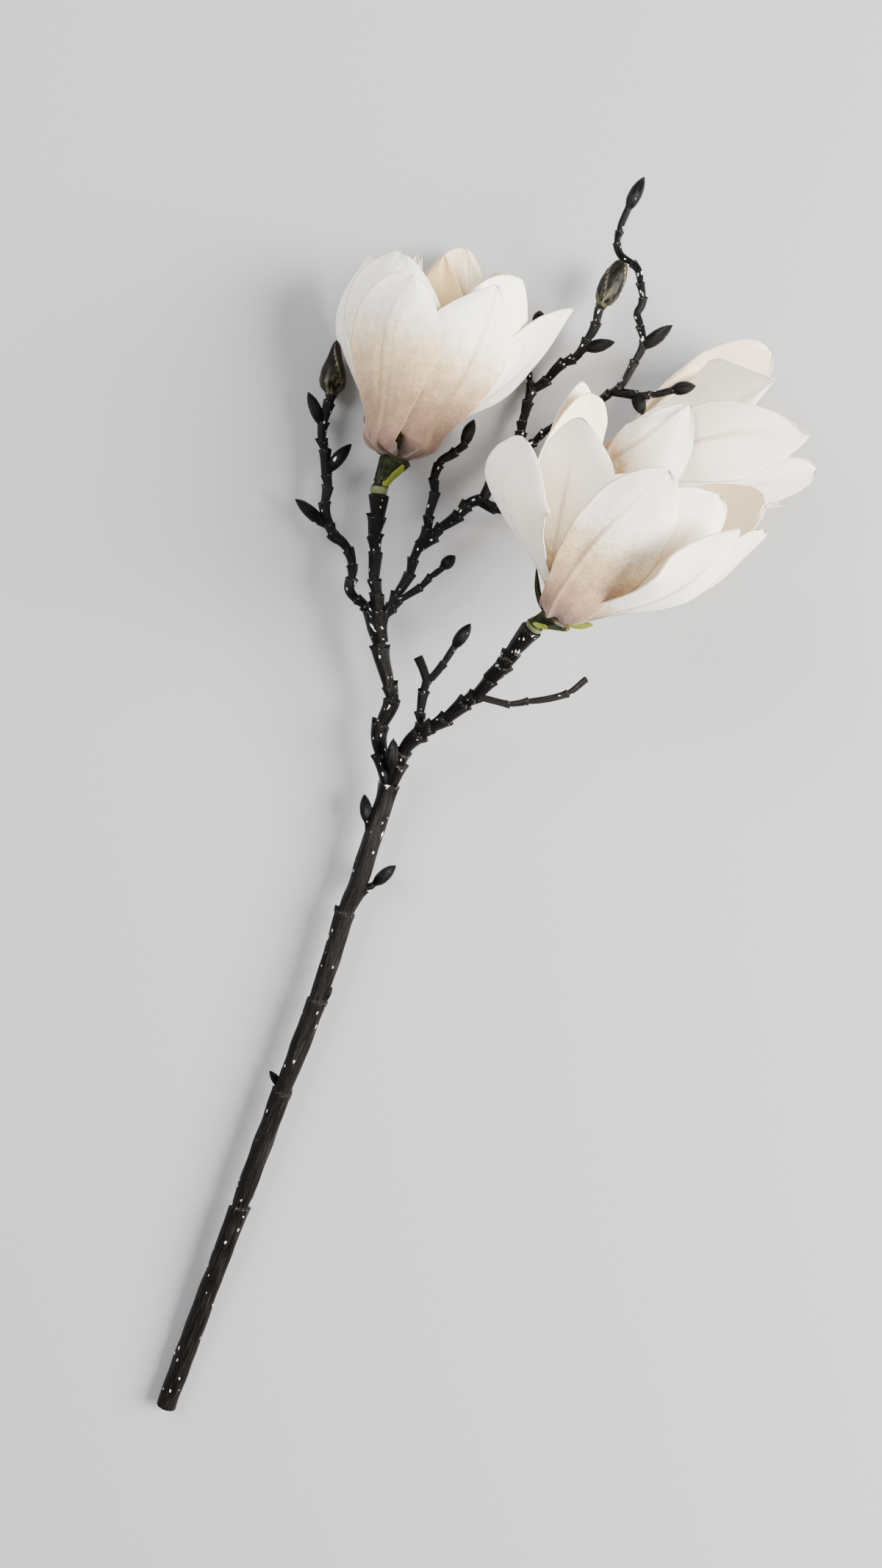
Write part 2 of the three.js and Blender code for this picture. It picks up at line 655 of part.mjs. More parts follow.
function makeHeart(bloom) {
  const frame = bloomFrame(bloom);
  const pieces = [turnedShape(bloom, frame, conePoints, 8)];
  for (let stamen = 0; stamen < stamenCount; stamen += 1) {
    const turn = (360 * stamen) / stamenCount;
    const foot = place(bloom, frame, around(turn, 1.8, 2.4));
    const knee = place(bloom, frame, around(turn, 3.7, 5.5));
    const tip = place(bloom, frame, around(turn + 8, 4.6, stamenHeight + (stamen % 3) * 0.7));
    const route = [foot, knee, tip].map((point) => point.toArray());
    pieces.push(bar(route, [[0, 0.5], [0.5, 0.6], [1, 0.3]], 3));
  }
  return unite(pieces);
}

// A large flower bud, blunt at the foot, with the fold of its wrapping scale winding up one side.
function makeFlowerBud(foot, tip, radius, belly) {
  const shape = [
    [0, 0.32], [0.07, 0.46], [belly * 0.55, 0.82], [belly, 1], [belly + 0.2, 0.9], [belly + 0.38, 0.62],
    [0.93, 0.28], [1, 0.08],
  ];
  const from = new THREE.Vector3(...foot);
  const axis = new THREE.Vector3(...tip).sub(from);
  const up = new THREE.Vector3(0, 0, 1);
  const right = new THREE.Vector3().crossVectors(axis, up).normalize();
  const under = new THREE.Vector3().crossVectors(axis, right).normalize();
  const sides = 12;
  const rings = shape.map(([along, share]) => {
    const ring = [];
    for (let side = 0; side < sides; side += 1) {
      const angle = (2 * Math.PI * side) / sides;
      const folded = radius * share * (1 + 0.05 * Math.cos(angle - 2.5 * along));
      ring.push(from.clone()
        .addScaledVector(axis, along)
        .addScaledVector(right, folded * Math.cos(angle))
        .addScaledVector(under, folded * Math.sin(angle)));
    }
    return ring;
  });
  return loft(rings);
}

const group = new THREE.Group();

function add(name, solid, color, roughness) {
  const material = new THREE.MeshStandardMaterial({ color, roughness, metalness: 0, flatShading: true });
  const mesh = new THREE.Mesh(geometryFrom(solid), material);
  mesh.name = name;
  group.add(mesh);
}

add('branch', makeBranch(), 0x1f1c1a, 0.45);
add('flower_bud_left', makeFlowerBud([-56.6, 164.6, 9], [-54.3, 189, 6.4], 5.7, 0.33), 0x3a3520, 0.5);
add('flower_bud_top', makeFlowerBud([49.9, 199.4, 14.1], [59.8, 219.3, 14.1], 4.8, 0.45), 0x3a3520, 0.5);
const sockets = [firstSocketRoute, secondSocketRoute, thirdSocketRoute];
blooms.forEach((bloom, index) => {
  add(`${bloom.name}_petals`, makePetals(bloom), 0xf0ece4, 0.8);
  add(`${bloom.name}_receptacle`, makeReceptacle(bloom, sockets[index].slice(-2)), 0x6f7a2c, 0.5);
  add(`${bloom.name}_heart`, makeHeart(bloom), 0xa8a04a, 0.7);
});

export default group;
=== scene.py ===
import bpy
import math
import numpy as np
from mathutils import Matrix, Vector, noise


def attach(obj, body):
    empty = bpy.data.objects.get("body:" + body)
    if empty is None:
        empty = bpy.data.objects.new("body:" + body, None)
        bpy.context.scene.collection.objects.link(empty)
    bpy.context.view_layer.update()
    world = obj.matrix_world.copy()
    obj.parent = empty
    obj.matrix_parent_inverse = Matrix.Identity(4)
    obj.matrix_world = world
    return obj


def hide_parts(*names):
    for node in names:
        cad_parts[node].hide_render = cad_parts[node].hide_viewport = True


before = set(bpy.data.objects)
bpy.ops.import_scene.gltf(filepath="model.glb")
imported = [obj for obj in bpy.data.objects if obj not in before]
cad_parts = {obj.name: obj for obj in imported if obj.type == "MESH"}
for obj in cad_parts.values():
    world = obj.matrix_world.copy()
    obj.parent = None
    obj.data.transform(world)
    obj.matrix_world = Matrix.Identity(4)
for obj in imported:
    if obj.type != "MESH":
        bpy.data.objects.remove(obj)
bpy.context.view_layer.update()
mm = 0.001


# ---- curves and meshes shared by all the pieces

def smoothRoute(points, count):
    # a smooth curve through the points (mm), cut into evenly spaced steps
    points = np.asarray(points, float)
    padded = np.vstack([2 * points[0] - points[1], points, 2 * points[-1] - points[-2]])
    gaps = np.maximum(np.linalg.norm(np.diff(padded, axis=0), axis=1), 1e-6) ** 0.5
    pieces = []
    for i in range(1, len(padded) - 2):
        p0, p1, p2, p3 = padded[i - 1:i + 3]
        d0, d1, d2 = gaps[i - 1:i + 2]
        t1 = ((p1 - p0) / d0 - (p2 - p0) / (d0 + d1) + (p2 - p1) / d1) * d1
        t2 = ((p2 - p1) / d1 - (p3 - p1) / (d1 + d2) + (p3 - p2) / d2) * d1
        s = np.linspace(0, 1, 40, endpoint=(i == len(padded) - 3))[:, None]
        pieces.append((2 * s**3 - 3 * s**2 + 1) * p1 + (s**3 - 2 * s**2 + s) * t1
                      + (-2 * s**3 + 3 * s**2) * p2 + (s**3 - s**2) * t2)
    curve = np.vstack(pieces)
    lengths = np.concatenate([[0], np.cumsum(np.linalg.norm(np.diff(curve, axis=0), axis=1))])
    at = np.linspace(0, lengths[-1], count)
    return placeOn(curve, lengths, at), lengths[-1]


def placeOn(line, along, at):
    # the points of a line at given places along it
    return np.stack([np.interp(at, along, line[:, k]) for k in range(3)], -1)


def ease(x):
    x = np.clip(x, 0, 1)
    return x * x * (3 - 2 * x)


def unit(vectors):
    return vectors / np.maximum(np.linalg.norm(vectors, axis=-1), 1e-9)[..., None]


def tangentsOf(line):
    return unit(np.gradient(line, axis=0))


def ringFrames(line, tangents=None):
    # two directions across the line at each of its points
    tangents = tangentsOf(line) if tangents is None else tangents
    right = unit(np.cross(tangents, [0, 0, 1.0]))
    return right, np.cross(tangents, right)


def anglesOf(sides):
    return 2 * math.pi * np.arange(sides) / sides


def ringsAround(line, right, under, across, down):
    # rings of points round a line, where across and down have a row for each of its points
    return line[:, None] + right[:, None] * across[..., None] + under[:, None] * down[..., None]


def stacked(like, *values):
    # the values side by side, each spread over an array as large as the first one
    return np.stack([np.zeros(like.shape) + value for value in values], -1)


def softened(share):
    return np.convolve(np.pad(share, 2, mode="edge"), np.array([1, 2, 3, 2, 1]) / 9, mode="valid")


class MeshHeap:
    # gathers tubes and sheets, then makes one piece of them
    lowest = 0.02

    def __init__(self):
        self.points, self.faces, self.maps, self.tones, self.marks = [], [], [], [], []
        self.count = 0

    def add(self, points, faces, maps, tones, marks=None):
        self.points.append(points)
        self.maps.append(maps)
        self.tones.append(tones)
        if marks is not None:
            self.marks.append(marks)
        self.faces.extend([tuple(i + self.count for i in face) for face in faces])
        self.count += len(points)

    def makePiece(self, name, material, node):
        points = np.vstack(self.points)
        points[:, 2] = np.maximum(points[:, 2], self.lowest)
        mesh = bpy.data.meshes.new(name)
        mesh.from_pydata((points * mm).tolist(), [], self.faces)
        mesh.polygons.foreach_set("use_smooth", [True] * len(mesh.polygons))
        corners = np.empty(len(mesh.loops), dtype=np.int32)
        mesh.loops.foreach_get("vertex_index", corners)
        flatMap = mesh.uv_layers.new(name="surfaceMap")
        flatMap.data.foreach_set("uv", np.vstack(self.maps)[corners].ravel())
        for kind, parts in (("tone", self.tones), ("mark", self.marks)):
            if parts:
                layer = mesh.attributes.new(kind, "FLOAT_COLOR", "POINT")
                layer.data.foreach_set("color", np.vstack(parts).ravel())
        mesh.validate()
        mesh.update()
        piece = bpy.data.objects.new(name, mesh)
        bpy.context.scene.collection.objects.link(piece)
        piece.data.materials.append(material)
        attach(piece, "root")
        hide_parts(node)


def addTube(heap, rings, *layers):
    # rings: count x sides x 3, closed round and capped with a point at each end
    count, sides = rings.shape[:2]
    here = np.arange(count * sides).reshape(count, sides)
    after = np.roll(here, -1, axis=1)
    start, end = count * sides, count * sides + 1
    quads = np.stack([here[:-1], after[:-1], after[1:], here[1:]], -1).reshape(-1, 4)
    fans = [(start, b, a) for a, b in zip(here[0], after[0])]
    fans += [(end, a, b) for a, b in zip(here[-1], after[-1])]
    rings, *layers = (np.vstack([part.reshape(-1, part.shape[-1]), part[0].mean(0), part[-1].mean(0)])
                      for part in (rings, *layers))
    heap.add(rings, quads.tolist() + [[int(i) for i in fan] for fan in fans], *layers)


# ---- materials

class Finish:
    # a material under way: its nodes and the places and marks that a mesh carries for it
    def __init__(self, name):
        self.material = bpy.data.materials.new(name)
        self.material.use_nodes = True
        self.nodes = self.material.node_tree.nodes
        self.shader = self.nodes["Principled BSDF"]
        self.place = self.node("ShaderNodeUVMap", uv_map="surfaceMap").outputs[0]

    def join(self, value, socket):
        # an output is linked to the socket, a number or a color is set on it
        if isinstance(value, bpy.types.NodeSocket):
            self.material.node_tree.links.new(value, socket)
        else:
            socket.default_value = (*value, 1) if socket.type == "RGBA" else value

    def node(self, kind, inputs=None, **settings):
        node = self.nodes.new(kind)
        for key, value in settings.items():
            setattr(node, key, value)
        for key, value in (inputs or {}).items():
            self.join(value, node.inputs[key])
        return node

    def math(self, operation, a, b=0.5, clamp=False):
        return self.node("ShaderNodeMath", {0: a, 1: b}, operation=operation, use_clamp=clamp).outputs[0]

    def times(self, a, b, clamp=False):
        return self.math("MULTIPLY", a, b, clamp)

    def plus(self, a, b):
        return self.math("ADD", a, b)

    def mix(self, amount, a, b, blend="MIX"):
        return self.node("ShaderNodeMix", {0: amount, 6: a, 7: b}, data_type="RGBA",
                         blend_type=blend).outputs[2]

    def ramp(self, value, stops):
        # each stop has a place and either a grey or a color
        ramp = self.node("ShaderNodeValToRGB", {0: value})
        elements = ramp.color_ramp.elements
        while len(elements) < len(stops):
            elements.new(0.5)
        for element, (place, color) in zip(elements, stops):
            element.position = place
            element.color = (*color, 1) if isinstance(color, tuple) else (color, color, color, 1)
        return ramp.outputs[0]

    def stretched(self, x, y):
        return self.node("ShaderNodeMapping", {0: self.place, "Scale": (x, y, 1)}).outputs[0]

    def noiseAt(self, scale, detail, roughness=0.5, place=None):
        return self.node("ShaderNodeTexNoise", {"Vector": place or self.place, "Scale": scale,
                                                "Detail": detail, "Roughness": roughness}).outputs["Fac"]

    def layer(self, name):
        # red, green, blue and alpha of the values that the mesh carries under this name
        source = self.node("ShaderNodeAttribute", attribute_name=name)
        parts = self.node("ShaderNodeSeparateColor", {0: source.outputs["Color"]})
        return (*parts.outputs, source.outputs["Alpha"])

    def coat(self, bumps, strength, depth, values):
        # the last step: the bumps in metres and the values of the surface itself
        bump = self.node("ShaderNodeBump", {"Height": bumps, "Strength": strength, "Distance": depth})
        for key, value in {"Normal": bump.outputs[0], **values}.items():
            self.join(value, self.shader.inputs[key])
        return self.material


petalFinish = {
    "cream": (0.91, 0.855, 0.75),
    "innerTintAndShade": (0.78, 0.64, 0.43),
    "straw": (0.64, 0.47, 0.28),
    "beige": (0.32, 0.205, 0.13),
    "dustyTan": (0.165, 0.095, 0.072),
    "darkFoot": (0.07, 0.04, 0.03),
    "grain": (0.36, 0.235, 0.10),
    "rib": (0.30, 0.20, 0.11),
    "edge": (0.42, 0.33, 0.22),
    "cloudTint": (0.88, 0.81, 0.70),
    "petalTint": (0.93, 0.88, 0.78),
    "weavePitch": 0.62,
    "weaveDepth": 0.28,
    "roughness": 0.82,
}


def makePetalCloth():
    # tone: R = along, G = towards the edge, B = how far the dust reaches, A = outer face
    # mark: R = painted shade beside the midrib, G = painted shade over a petal that sits in shade, partly a
    # tan tint, B = a number for each petal, A = painted shade on the inner face, partly a warm tint
    look = petalFinish
    cloth = Finish("petalCloth")
    times, plus = cloth.times, cloth.plus
    along, edge, dust, outside = cloth.layer("tone")
    ribShadeBand, paintedShadeTan, number, innerShadeAmount = cloth.layer("mark")
    streaks = cloth.noiseAt(1.0, 4.0, 0.6, cloth.stretched(0.9, 0.10))
    speckle = cloth.noiseAt(1.15, 4.0, 0.8)
    blotch = cloth.noiseAt(0.22, 4.0, 0.65)
    cloud = cloth.noiseAt(0.09, 2.0)

    # the sprayed dust at the foot, broken up by streaks, blotches and speckles
    shifted = along
    for source, amount in ((streaks, -0.09), (speckle, -0.38), (blotch, -0.30)):
        shifted = plus(shifted, times(plus(source, -0.5), amount))
    sprayed = cloth.math("DIVIDE", shifted, plus(times(dust, 0.80), 0.20))
    shade = cloth.ramp(sprayed, [(0.0, look["darkFoot"]), (0.17, look["dustyTan"]), (0.37, look["beige"]),
                                 (0.60, look["straw"]), (0.86, look["cream"]), (1.0, look["cream"])])
    zone = cloth.ramp(sprayed, [(0.15, 0.0), (0.38, 1.0), (0.75, 0.5), (1.0, 0.12)])
    grains = cloth.ramp(speckle, [(0.50, 0.0), (0.66, 1.0)])
    patches = cloth.ramp(blotch, [(0.44, 0.0), (0.62, 1.0)])
    dusted = times(times(grains, plus(times(patches, 0.85), 0.15)), zone)
    color = cloth.mix(times(dusted, 0.85), shade, look["grain"])
    # a darker tan band beside the midrib on the outer face: painted shade along the crease of the rib
    color = cloth.mix(times(times(ribShadeBand, outside), 0.55), color, look["rib"])
    # the inner face is multiplied towards the warm tan in the loop below: painted shade for a face turned
    # from the light, partly a warm tint
    inside = cloth.math("SUBTRACT", 1.0, outside)
    # in this loop the cloud and the number for each petal are real changes of tone; the tan amount is painted
    # shade over a whole petal that sits in shade, partly a tan tint
    for amount, tint in ((times(cloud, 0.16), "cloudTint"), (times(times(inside, innerShadeAmount), 0.5), "innerTintAndShade"),
                         (paintedShadeTan, "innerTintAndShade"), (times(number, 0.10), "petalTint")):
        color = cloth.mix(amount, color, look[tint], "MULTIPLY")
    # a thin tan line along each petal's edge, weaker at the foot: painted shade where the edge of one petal
    # lies over the next
    rim = cloth.ramp(edge, [(0.0, 0.0), (0.955, 0.0), (0.985, 0.6), (1.0, 0.6)])
    color = cloth.mix(times(rim, cloth.ramp(sprayed, [(0.10, 0.15), (0.55, 1.0)])), color, look["edge"])

    # over and under weave, with the faint streaks over it
    wovenScale = 2 * math.pi / look["weavePitch"]
    apart = cloth.node("ShaderNodeSeparateXYZ", {0: cloth.place}).outputs
    weave = times(*(cloth.math("SINE", times(apart[k], wovenScale)) for k in range(2)))
    height = plus(plus(times(weave, look["weaveDepth"]), times(streaks, 1.4)), times(blotch, 1.6))
    return cloth.coat(height, 0.35, 0.00035, {
        "Base Color": color, "Roughness": look["roughness"], "Specular IOR Level": 0.25,
        "Sheen Weight": 0.25, "Sheen Roughness": 0.5,
        "Subsurface Weight": 0.25, "Subsurface Radius": (0.005, 0.003, 0.0018), "Subsurface Scale": 0.5,
    })


barkFinish = {
    "dark": (0.0006, 0.00055, 0.0005),
    "brown": (0.0015, 0.0011, 0.0009),
    "worn": (0.055, 0.045, 0.037),
    "fleck": (0.85, 0.83, 0.77),
    "smallCell": (1.7, 3.2),
    "largeCell": (4.6, 7.5),
    "roughness": 0.30,
}


def makeBark():
    # tone: R = close to a rim, G = how brown, B = how many flecks, A = how glossy
    look = barkFinish
    bark = Finish("paintedBark")
    times, plus = bark.times, bark.plus
    rim, brown, flecked, gloss = bark.layer("tone")
    grain = bark.noiseAt(1.0, 6.0, 0.65, bark.stretched(1.5, 0.075))
    cloud = bark.noiseAt(0.16, 3.0)
    worn = times(bark.ramp(grain, [(0.44, 0.0), (0.57, 0.25), (0.68, 1.0)]), plus(times(brown, 0.60), 0.10))
    worn = times(worn, plus(times(cloud, 1.1), 0.1), True)
    color = bark.mix(worn, bark.mix(brown, look["dark"], look["brown"]), look["worn"])

    # oval cream flecks of two sizes, one to a cell where the number of the cell is low enough; they are the
    # branch's paint flecks and also stand in for small painted highlight dots
    wobble = bark.node("ShaderNodeTexNoise", {"Vector": bark.place, "Scale": 1.1, "Detail": 3.0})

    def flecksOf(cell, amount, spread):
        wobbled = bark.node("ShaderNodeVectorMath", {
            0: wobble.outputs["Color"], 1: (0.34, 0.34, 0), 2: bark.stretched(1 / cell[0], 1 / cell[1]),
        }, operation="MULTIPLY_ADD")
        cells = bark.node("ShaderNodeTexVoronoi", {"Vector": wobbled.outputs[0], "Scale": 1.0,
                                                   "Randomness": 1.0}, voronoi_dimensions="2D")
        number = bark.node("ShaderNodeSeparateColor", {0: cells.outputs["Color"]}).outputs
        chosen = bark.math("LESS_THAN", number[0], amount)
        near = bark.math("SUBTRACT", plus(times(number[1], spread), 0.085), cells.outputs["Distance"])
        return times(times(near, 16.0, True), chosen, True)

    small = flecksOf(look["smallCell"], flecked, 0.17)
    large = flecksOf(look["largeCell"], times(flecked, plus(times(rim, 0.6), 0.35)), 0.07)
    # cream marks round the rims: wear, and painted highlights where the sharp rims catch the light
    rimWearAndGlint = times(plus(wobble.outputs["Fac"], -0.56), 14.0, True)
    marks = bark.math("MAXIMUM", bark.math("MAXIMUM", small, large),
                      times(times(rimWearAndGlint, rim), times(flecked, 0.7), True))
    rough = bark.ramp(grain, [(0.3, look["roughness"] - 0.08), (0.75, look["roughness"] + 0.16)])
    duller = bark.math("SUBTRACT", 1.0, times(gloss, 0.55))
    return bark.coat(plus(grain, times(marks, 0.3)), 0.8, 0.0009, {
        "Base Color": bark.mix(marks, color, look["fleck"]), "Roughness": times(rough, duller),
        "Specular IOR Level": 0.085,
    })


greenFinish = {
    "light": (0.165, 0.185, 0.014),
    "dark": (0.004, 0.0062, 0.0022),
    "pale": (0.11, 0.12, 0.062),
    "brown": (0.05, 0.03, 0.016),
}


def makeGreen():
    # tone: R = pale ring, G = dark patches, B = brown tip
    look = greenFinish
    green = Finish("mouldedGreen")
    pale, dark, brown, _ = green.layer("tone")
    patches = green.noiseAt(0.35, 4.0, 0.6)
    amount = green.times(green.ramp(patches, [(0.34, 0.90), (0.55, 1.0)]), dark, True)
    color = green.mix(amount, look["light"], look["dark"])
    color = green.mix(pale, color, look["pale"])
    color = green.mix(brown, color, look["brown"])
    return green.coat(patches, 0.4, 0.0003, {
        "Base Color": color, "Roughness": 0.42, "Specular IOR Level": 0.12,
        "Subsurface Weight": 0.05, "Subsurface Radius": (0.002, 0.003, 0.001),
    })


oliveFinish = {
    "dark": (0.0014, 0.0013, 0.0009),
    "olive": (0.0075, 0.007, 0.0032),
    "cream": (0.34, 0.31, 0.18),
}


def makeOlive():
    # tone: R = along the bud, G = edge of a scale
    look = oliveFinish
    olive = Finish("oliveBud")
    times = olive.times
    along, edge, *_ = olive.layer("tone")
    mottle = olive.noiseAt(1.0, 6.0, 0.7, olive.stretched(0.55, 0.16))
    mottled = olive.ramp(mottle, [(0.46, 0.0), (0.70, 1.0)])
    low = olive.ramp(along, [(0.0, 0.55), (0.20, 0.45), (0.34, 0.06), (1.0, 0.0)])
    amount = olive.math("MAXIMUM", times(low, mottled), times(edge, olive.plus(mottled, 0.15)), True)
    return olive.coat(mottle, 0.6, 0.0005, {
        "Base Color": olive.mix(amount, olive.mix(mottled, look["dark"], look["olive"]), look["cream"]),
        "Roughness": 0.42, "Specular IOR Level": 0.12,
    })


heartFinish = {
    "foot": (0.30, 0.12, 0.08),
    "middle": (0.42, 0.36, 0.10),
    "tip": (0.62, 0.55, 0.22),
    "grain": (0.55, 0.5, 0.3),
}


def makeHeartFinish():
    # tone: R = along a stamen or up the cone
    look = heartFinish
    yellow = Finish("heartYellow")
    along = yellow.layer("tone")[0]
    grains = yellow.noiseAt(1.6, 3.0)
    color = yellow.ramp(along, [(0.0, look["foot"]), (0.35, look["middle"]), (1.0, look["tip"])])
    return yellow.coat(grains, 0.4, 0.0003, {
        "Base Color": yellow.mix(grains, color, look["grain"], "MULTIPLY"), "Roughness": 0.6,
    })


petalCloth = makePetalCloth()
paintedBark = makeBark()
mouldedGreen = makeGreen()
oliveBud = makeOlive()
heartYellow = makeHeartFinish()
print("materials made")


# ---- the wood

cutEnd = (-123.5, -239, 3.7)
fork = (-33.5, 11, 13)
crotch = (-38, 76, 20)

# name: route in mm, radius at its start and end, distance between joints or the joints' own places,
# how brown and how glossy, how many flecks; a socket ends in a cone
woodDefaults = dict(joints=6.8, zigzag=0.45, flare=1.0, gloss=0.55, brown=0.1, flecks=0.15)
woodRoutes = {
    "stem": dict(route=[cutEnd, (-121, -232, 3.7), (-94.5, -160, 7.5), (-63.2, -77, 9), (-56.2, -57, 9.5),
        (-50.5, -39, 10), (-45.6, -28, 10.5), (-42.5, -18, 11), (-35.5, 4, 12), fork], radii=(4.0, 3.8),
        jointAt=(87, 136, 175, 212), teeth=("R", "L", "R", "L"), flare=0.45, zigzag=0.15, gloss=0.3,
        rimEnd=True, brown=0.7, flecks=0.07),
    "leftLimb": dict(route=[fork, (-37.5, 29, 15), (-32.5, 45, 17), (-37, 63, 19), crotch],
        radii=(3.5, 2.75), jointAt=(11.5, 24, 35, 40, 55.5), teeth=("L", "L", "l", "R", "LR"), brown=0.35,
        flecks=0.12),
    "rightLimb": dict(route=[fork, (-24.8, 27.8, 20), (-13.3, 35, 28), (4.6, 48.6, 41), (15, 60, 50)],
        radii=(3.4, 2.45), joints=8.2, zigzag=0.25, brown=0.4, flecks=0.12),
    "farLeftTwig": dict(route=[(-38, 74, 20), (-44, 82, 19), (-49, 87.5, 18), (-47.5, 97, 17),
        (-51.6, 105.8, 16), (-55, 109.3, 15), (-58.5, 117.5, 14), (-58, 131, 13), (-59.1, 141.7, 12),
        (-60.2, 154, 10.5), (-57, 163.5, 9.3), (-56.2, 168, 9)], radii=(2.1, 2.1), brown=0.15),
    "middleTwig": dict(route=[(-37.5, 74, 20), (-27.5, 89.5, 18), (-21, 106, 16)], radii=(2.2, 2.1),
        brown=0.15),
    "middleShoot": dict(route=[(-21.5, 104, 16), (-19, 110.5, 16), (-16, 124.5, 16), (-14, 137.8, 14),
        (-7.9, 141.7, 12), (-3.3, 145.9, 11)], radii=(2.1, 1.8)),
    "crossTwig": dict(route=[(-22, 104.5, 16), (-9.5, 114.4, 15), (-1, 122, 14), (3, 123.5, 14)],
        radii=(2.5, 2.4)),
    "risingShoot": dict(route=[(2.5, 121.5, 14), (7, 130.5, 13), (14.5, 139.5, 13), (18, 146.5, 13)],
        radii=(2.1, 1.7)),
    "budShoot": dict(route=[(16.5, 143.2, 12), (20.4, 158, 7), (22.2, 166, 4.8), (28.3, 172.4, 4.8),
        (33, 176.6, 7), (42.4, 182.6, 11.5), (46.8, 189.6, 13), (48.8, 196.5, 13.9), (49.7, 199.1, 14)],
        radii=(2.05, 1.95)),
    "hiddenShoot": dict(route=[(21.8, 164, 5), (22.6, 175, 3.6), (22.8, 183.4, 4.4), (24.5, 190.5, 6),
        (26, 198, 6.5)], radii=(1.4, 1.1)),
    "tallShoot": dict(route=[(15.5, 141.5, 13), (23.8, 146.4, 15), (30.2, 150, 20), (38.5, 153, 32),
        (48, 156, 42), (53, 159, 45), (56, 162.5, 46), (62, 174, 46), (62, 183, 45), (60.5, 187, 45),
        (62, 191, 45), (61, 203.5, 44), (54.5, 210, 43), (53.5, 215, 43), (54, 220, 42), (57.5, 228, 42)],
        radii=(1.7, 1.4), joints=8, flecks=0.22),
    "sideShoot": dict(route=[(51.5, 158, 45), (58.5, 157, 46), (65, 156, 46), (74, 158, 47)],
        radii=(1.7, 1.4), joints=7, flecks=0.22),
    "crotchShoot": dict(route=[(-38, 75, 20), (-27.2, 83.8, 20), (-15.6, 92.6, 20), (-12, 96, 20)],
        radii=(1.7, 1.4)),
    "limbTwig": dict(route=[(-24.5, 28.5, 21), (-21.5, 33, 22), (-20, 47.5, 22), (-18, 51.5, 22)],
        radii=(2.1, 2.0), brown=0.2),
    "limbShoot": dict(route=[(-19.5, 49.5, 22), (-15.5, 54, 22), (-7.5, 65, 22)], radii=(1.7, 1.4), joints=8),
    "stub": dict(route=[(-18.2, 50, 22), (-20, 56, 22), (-22, 60.5, 22)], radii=(1.7, 1.9), joints=12,
        brown=0.2),
    "budStalk": dict(route=[(-49.8, -38, 9.8), (-45.2, -32.6, 9.8), (-39.8, -29, 9.8)], radii=(3.0, 1.3),
        joints=20, zigzag=0, brown=0.5, flecks=0.1),
    "leftBudStalk": dict(route=[(-41, -11, 10.4), (-41.8, -8, 11.2), (-42.2, -4.6, 11.9)], radii=(1.7, 1.1),
        joints=20, zigzag=0, brown=0.3, flecks=0.1),
    "bareShoot": dict(route=[(-0.5, 44.6, 37), (16, 41.8, 34), (35, 46.0, 30), (43, 51.5, 28)],
        radii=(1.4, 1.3), joints=12, brown=0.9, flecks=0.05),
    "firstSocket": dict(route=[crotch, (-38.8, 96.5, 22), (-38.4, 110, 24), (-37.2, 123, 25)],
        radii=(2.6, 2.4), joints=7.5, cone=4.3, coneLength=20, brown=0.2, flecks=0.09),
    "secondSocket": dict(route=[(5, 50.5, 42), (12, 58, 48), (20.5, 68, 55)], radii=(2.4, 2.6), joints=7.5,
        cone=4.4, coneLength=18, brown=0.3),
    "thirdSocket": dict(route=[(1, 123.5, 14), (11, 119.5, 14), (24.5, 121, 16), (36, 125.5, 18.5)],
        radii=(2.1, 2.1), joints=7.5, cone=4.3, coneLength=14),
    "crotchCollar": dict(route=[(-36.6, 66, 19.3), (-38, 72, 19.9), (-38.2, 78.5, 20.2)], radii=(3.0, 4.7),
        joints=20, rimEnd=True, brown=0.3),
}
woodFinish = {
    "stepLength": 0.42, "ridge": 0.09, "knobble": 0.08, "neck": 0.24, "flare": 0.13,
    "toothFlare": 0.36, "toothLength": 0.5,
}


def jointPlaces(facts, length):
    if "jointAt" in facts:
        return np.array(facts["jointAt"], float)
    count = max(1, round(length / facts["joints"]))
    number = np.arange(1, count)
    places = length * (number + 0.22 * np.sin(2.4 * number)) / count
    return places[places < length - 6] if "cone" in facts else places


def jaggedRim(random, angles, number, named=None):
    # how far out a rim's pointed teeth reach on every side of the wood, from 0 to 1
    faceUp = -math.pi / 2
    places = [math.pi * (number % 2) + random.uniform(-0.4, 0.4)]
    if random.random() < 0.75:
        places.append(places[0] + math.pi + random.uniform(-0.6, 0.6))
    if random.random() < 0.6:
        places.append(faceUp + random.uniform(-0.7, 0.7))
    if named:
        # teeth on the named sides of the wood as seen from above
        places = [{"L": math.pi, "R": 0}[side] + random.uniform(-0.2, 0.2) for side in named.upper()]
    reach = np.zeros(len(angles))
    for place in places:
        away = np.abs((angles - place + math.pi) % (2 * math.pi) - math.pi)
        tall = random.uniform(0.6, 1)
        reach = np.maximum(reach, tall * np.clip(1 - away / random.uniform(0.5, 0.85), 0, 1))
    return reach


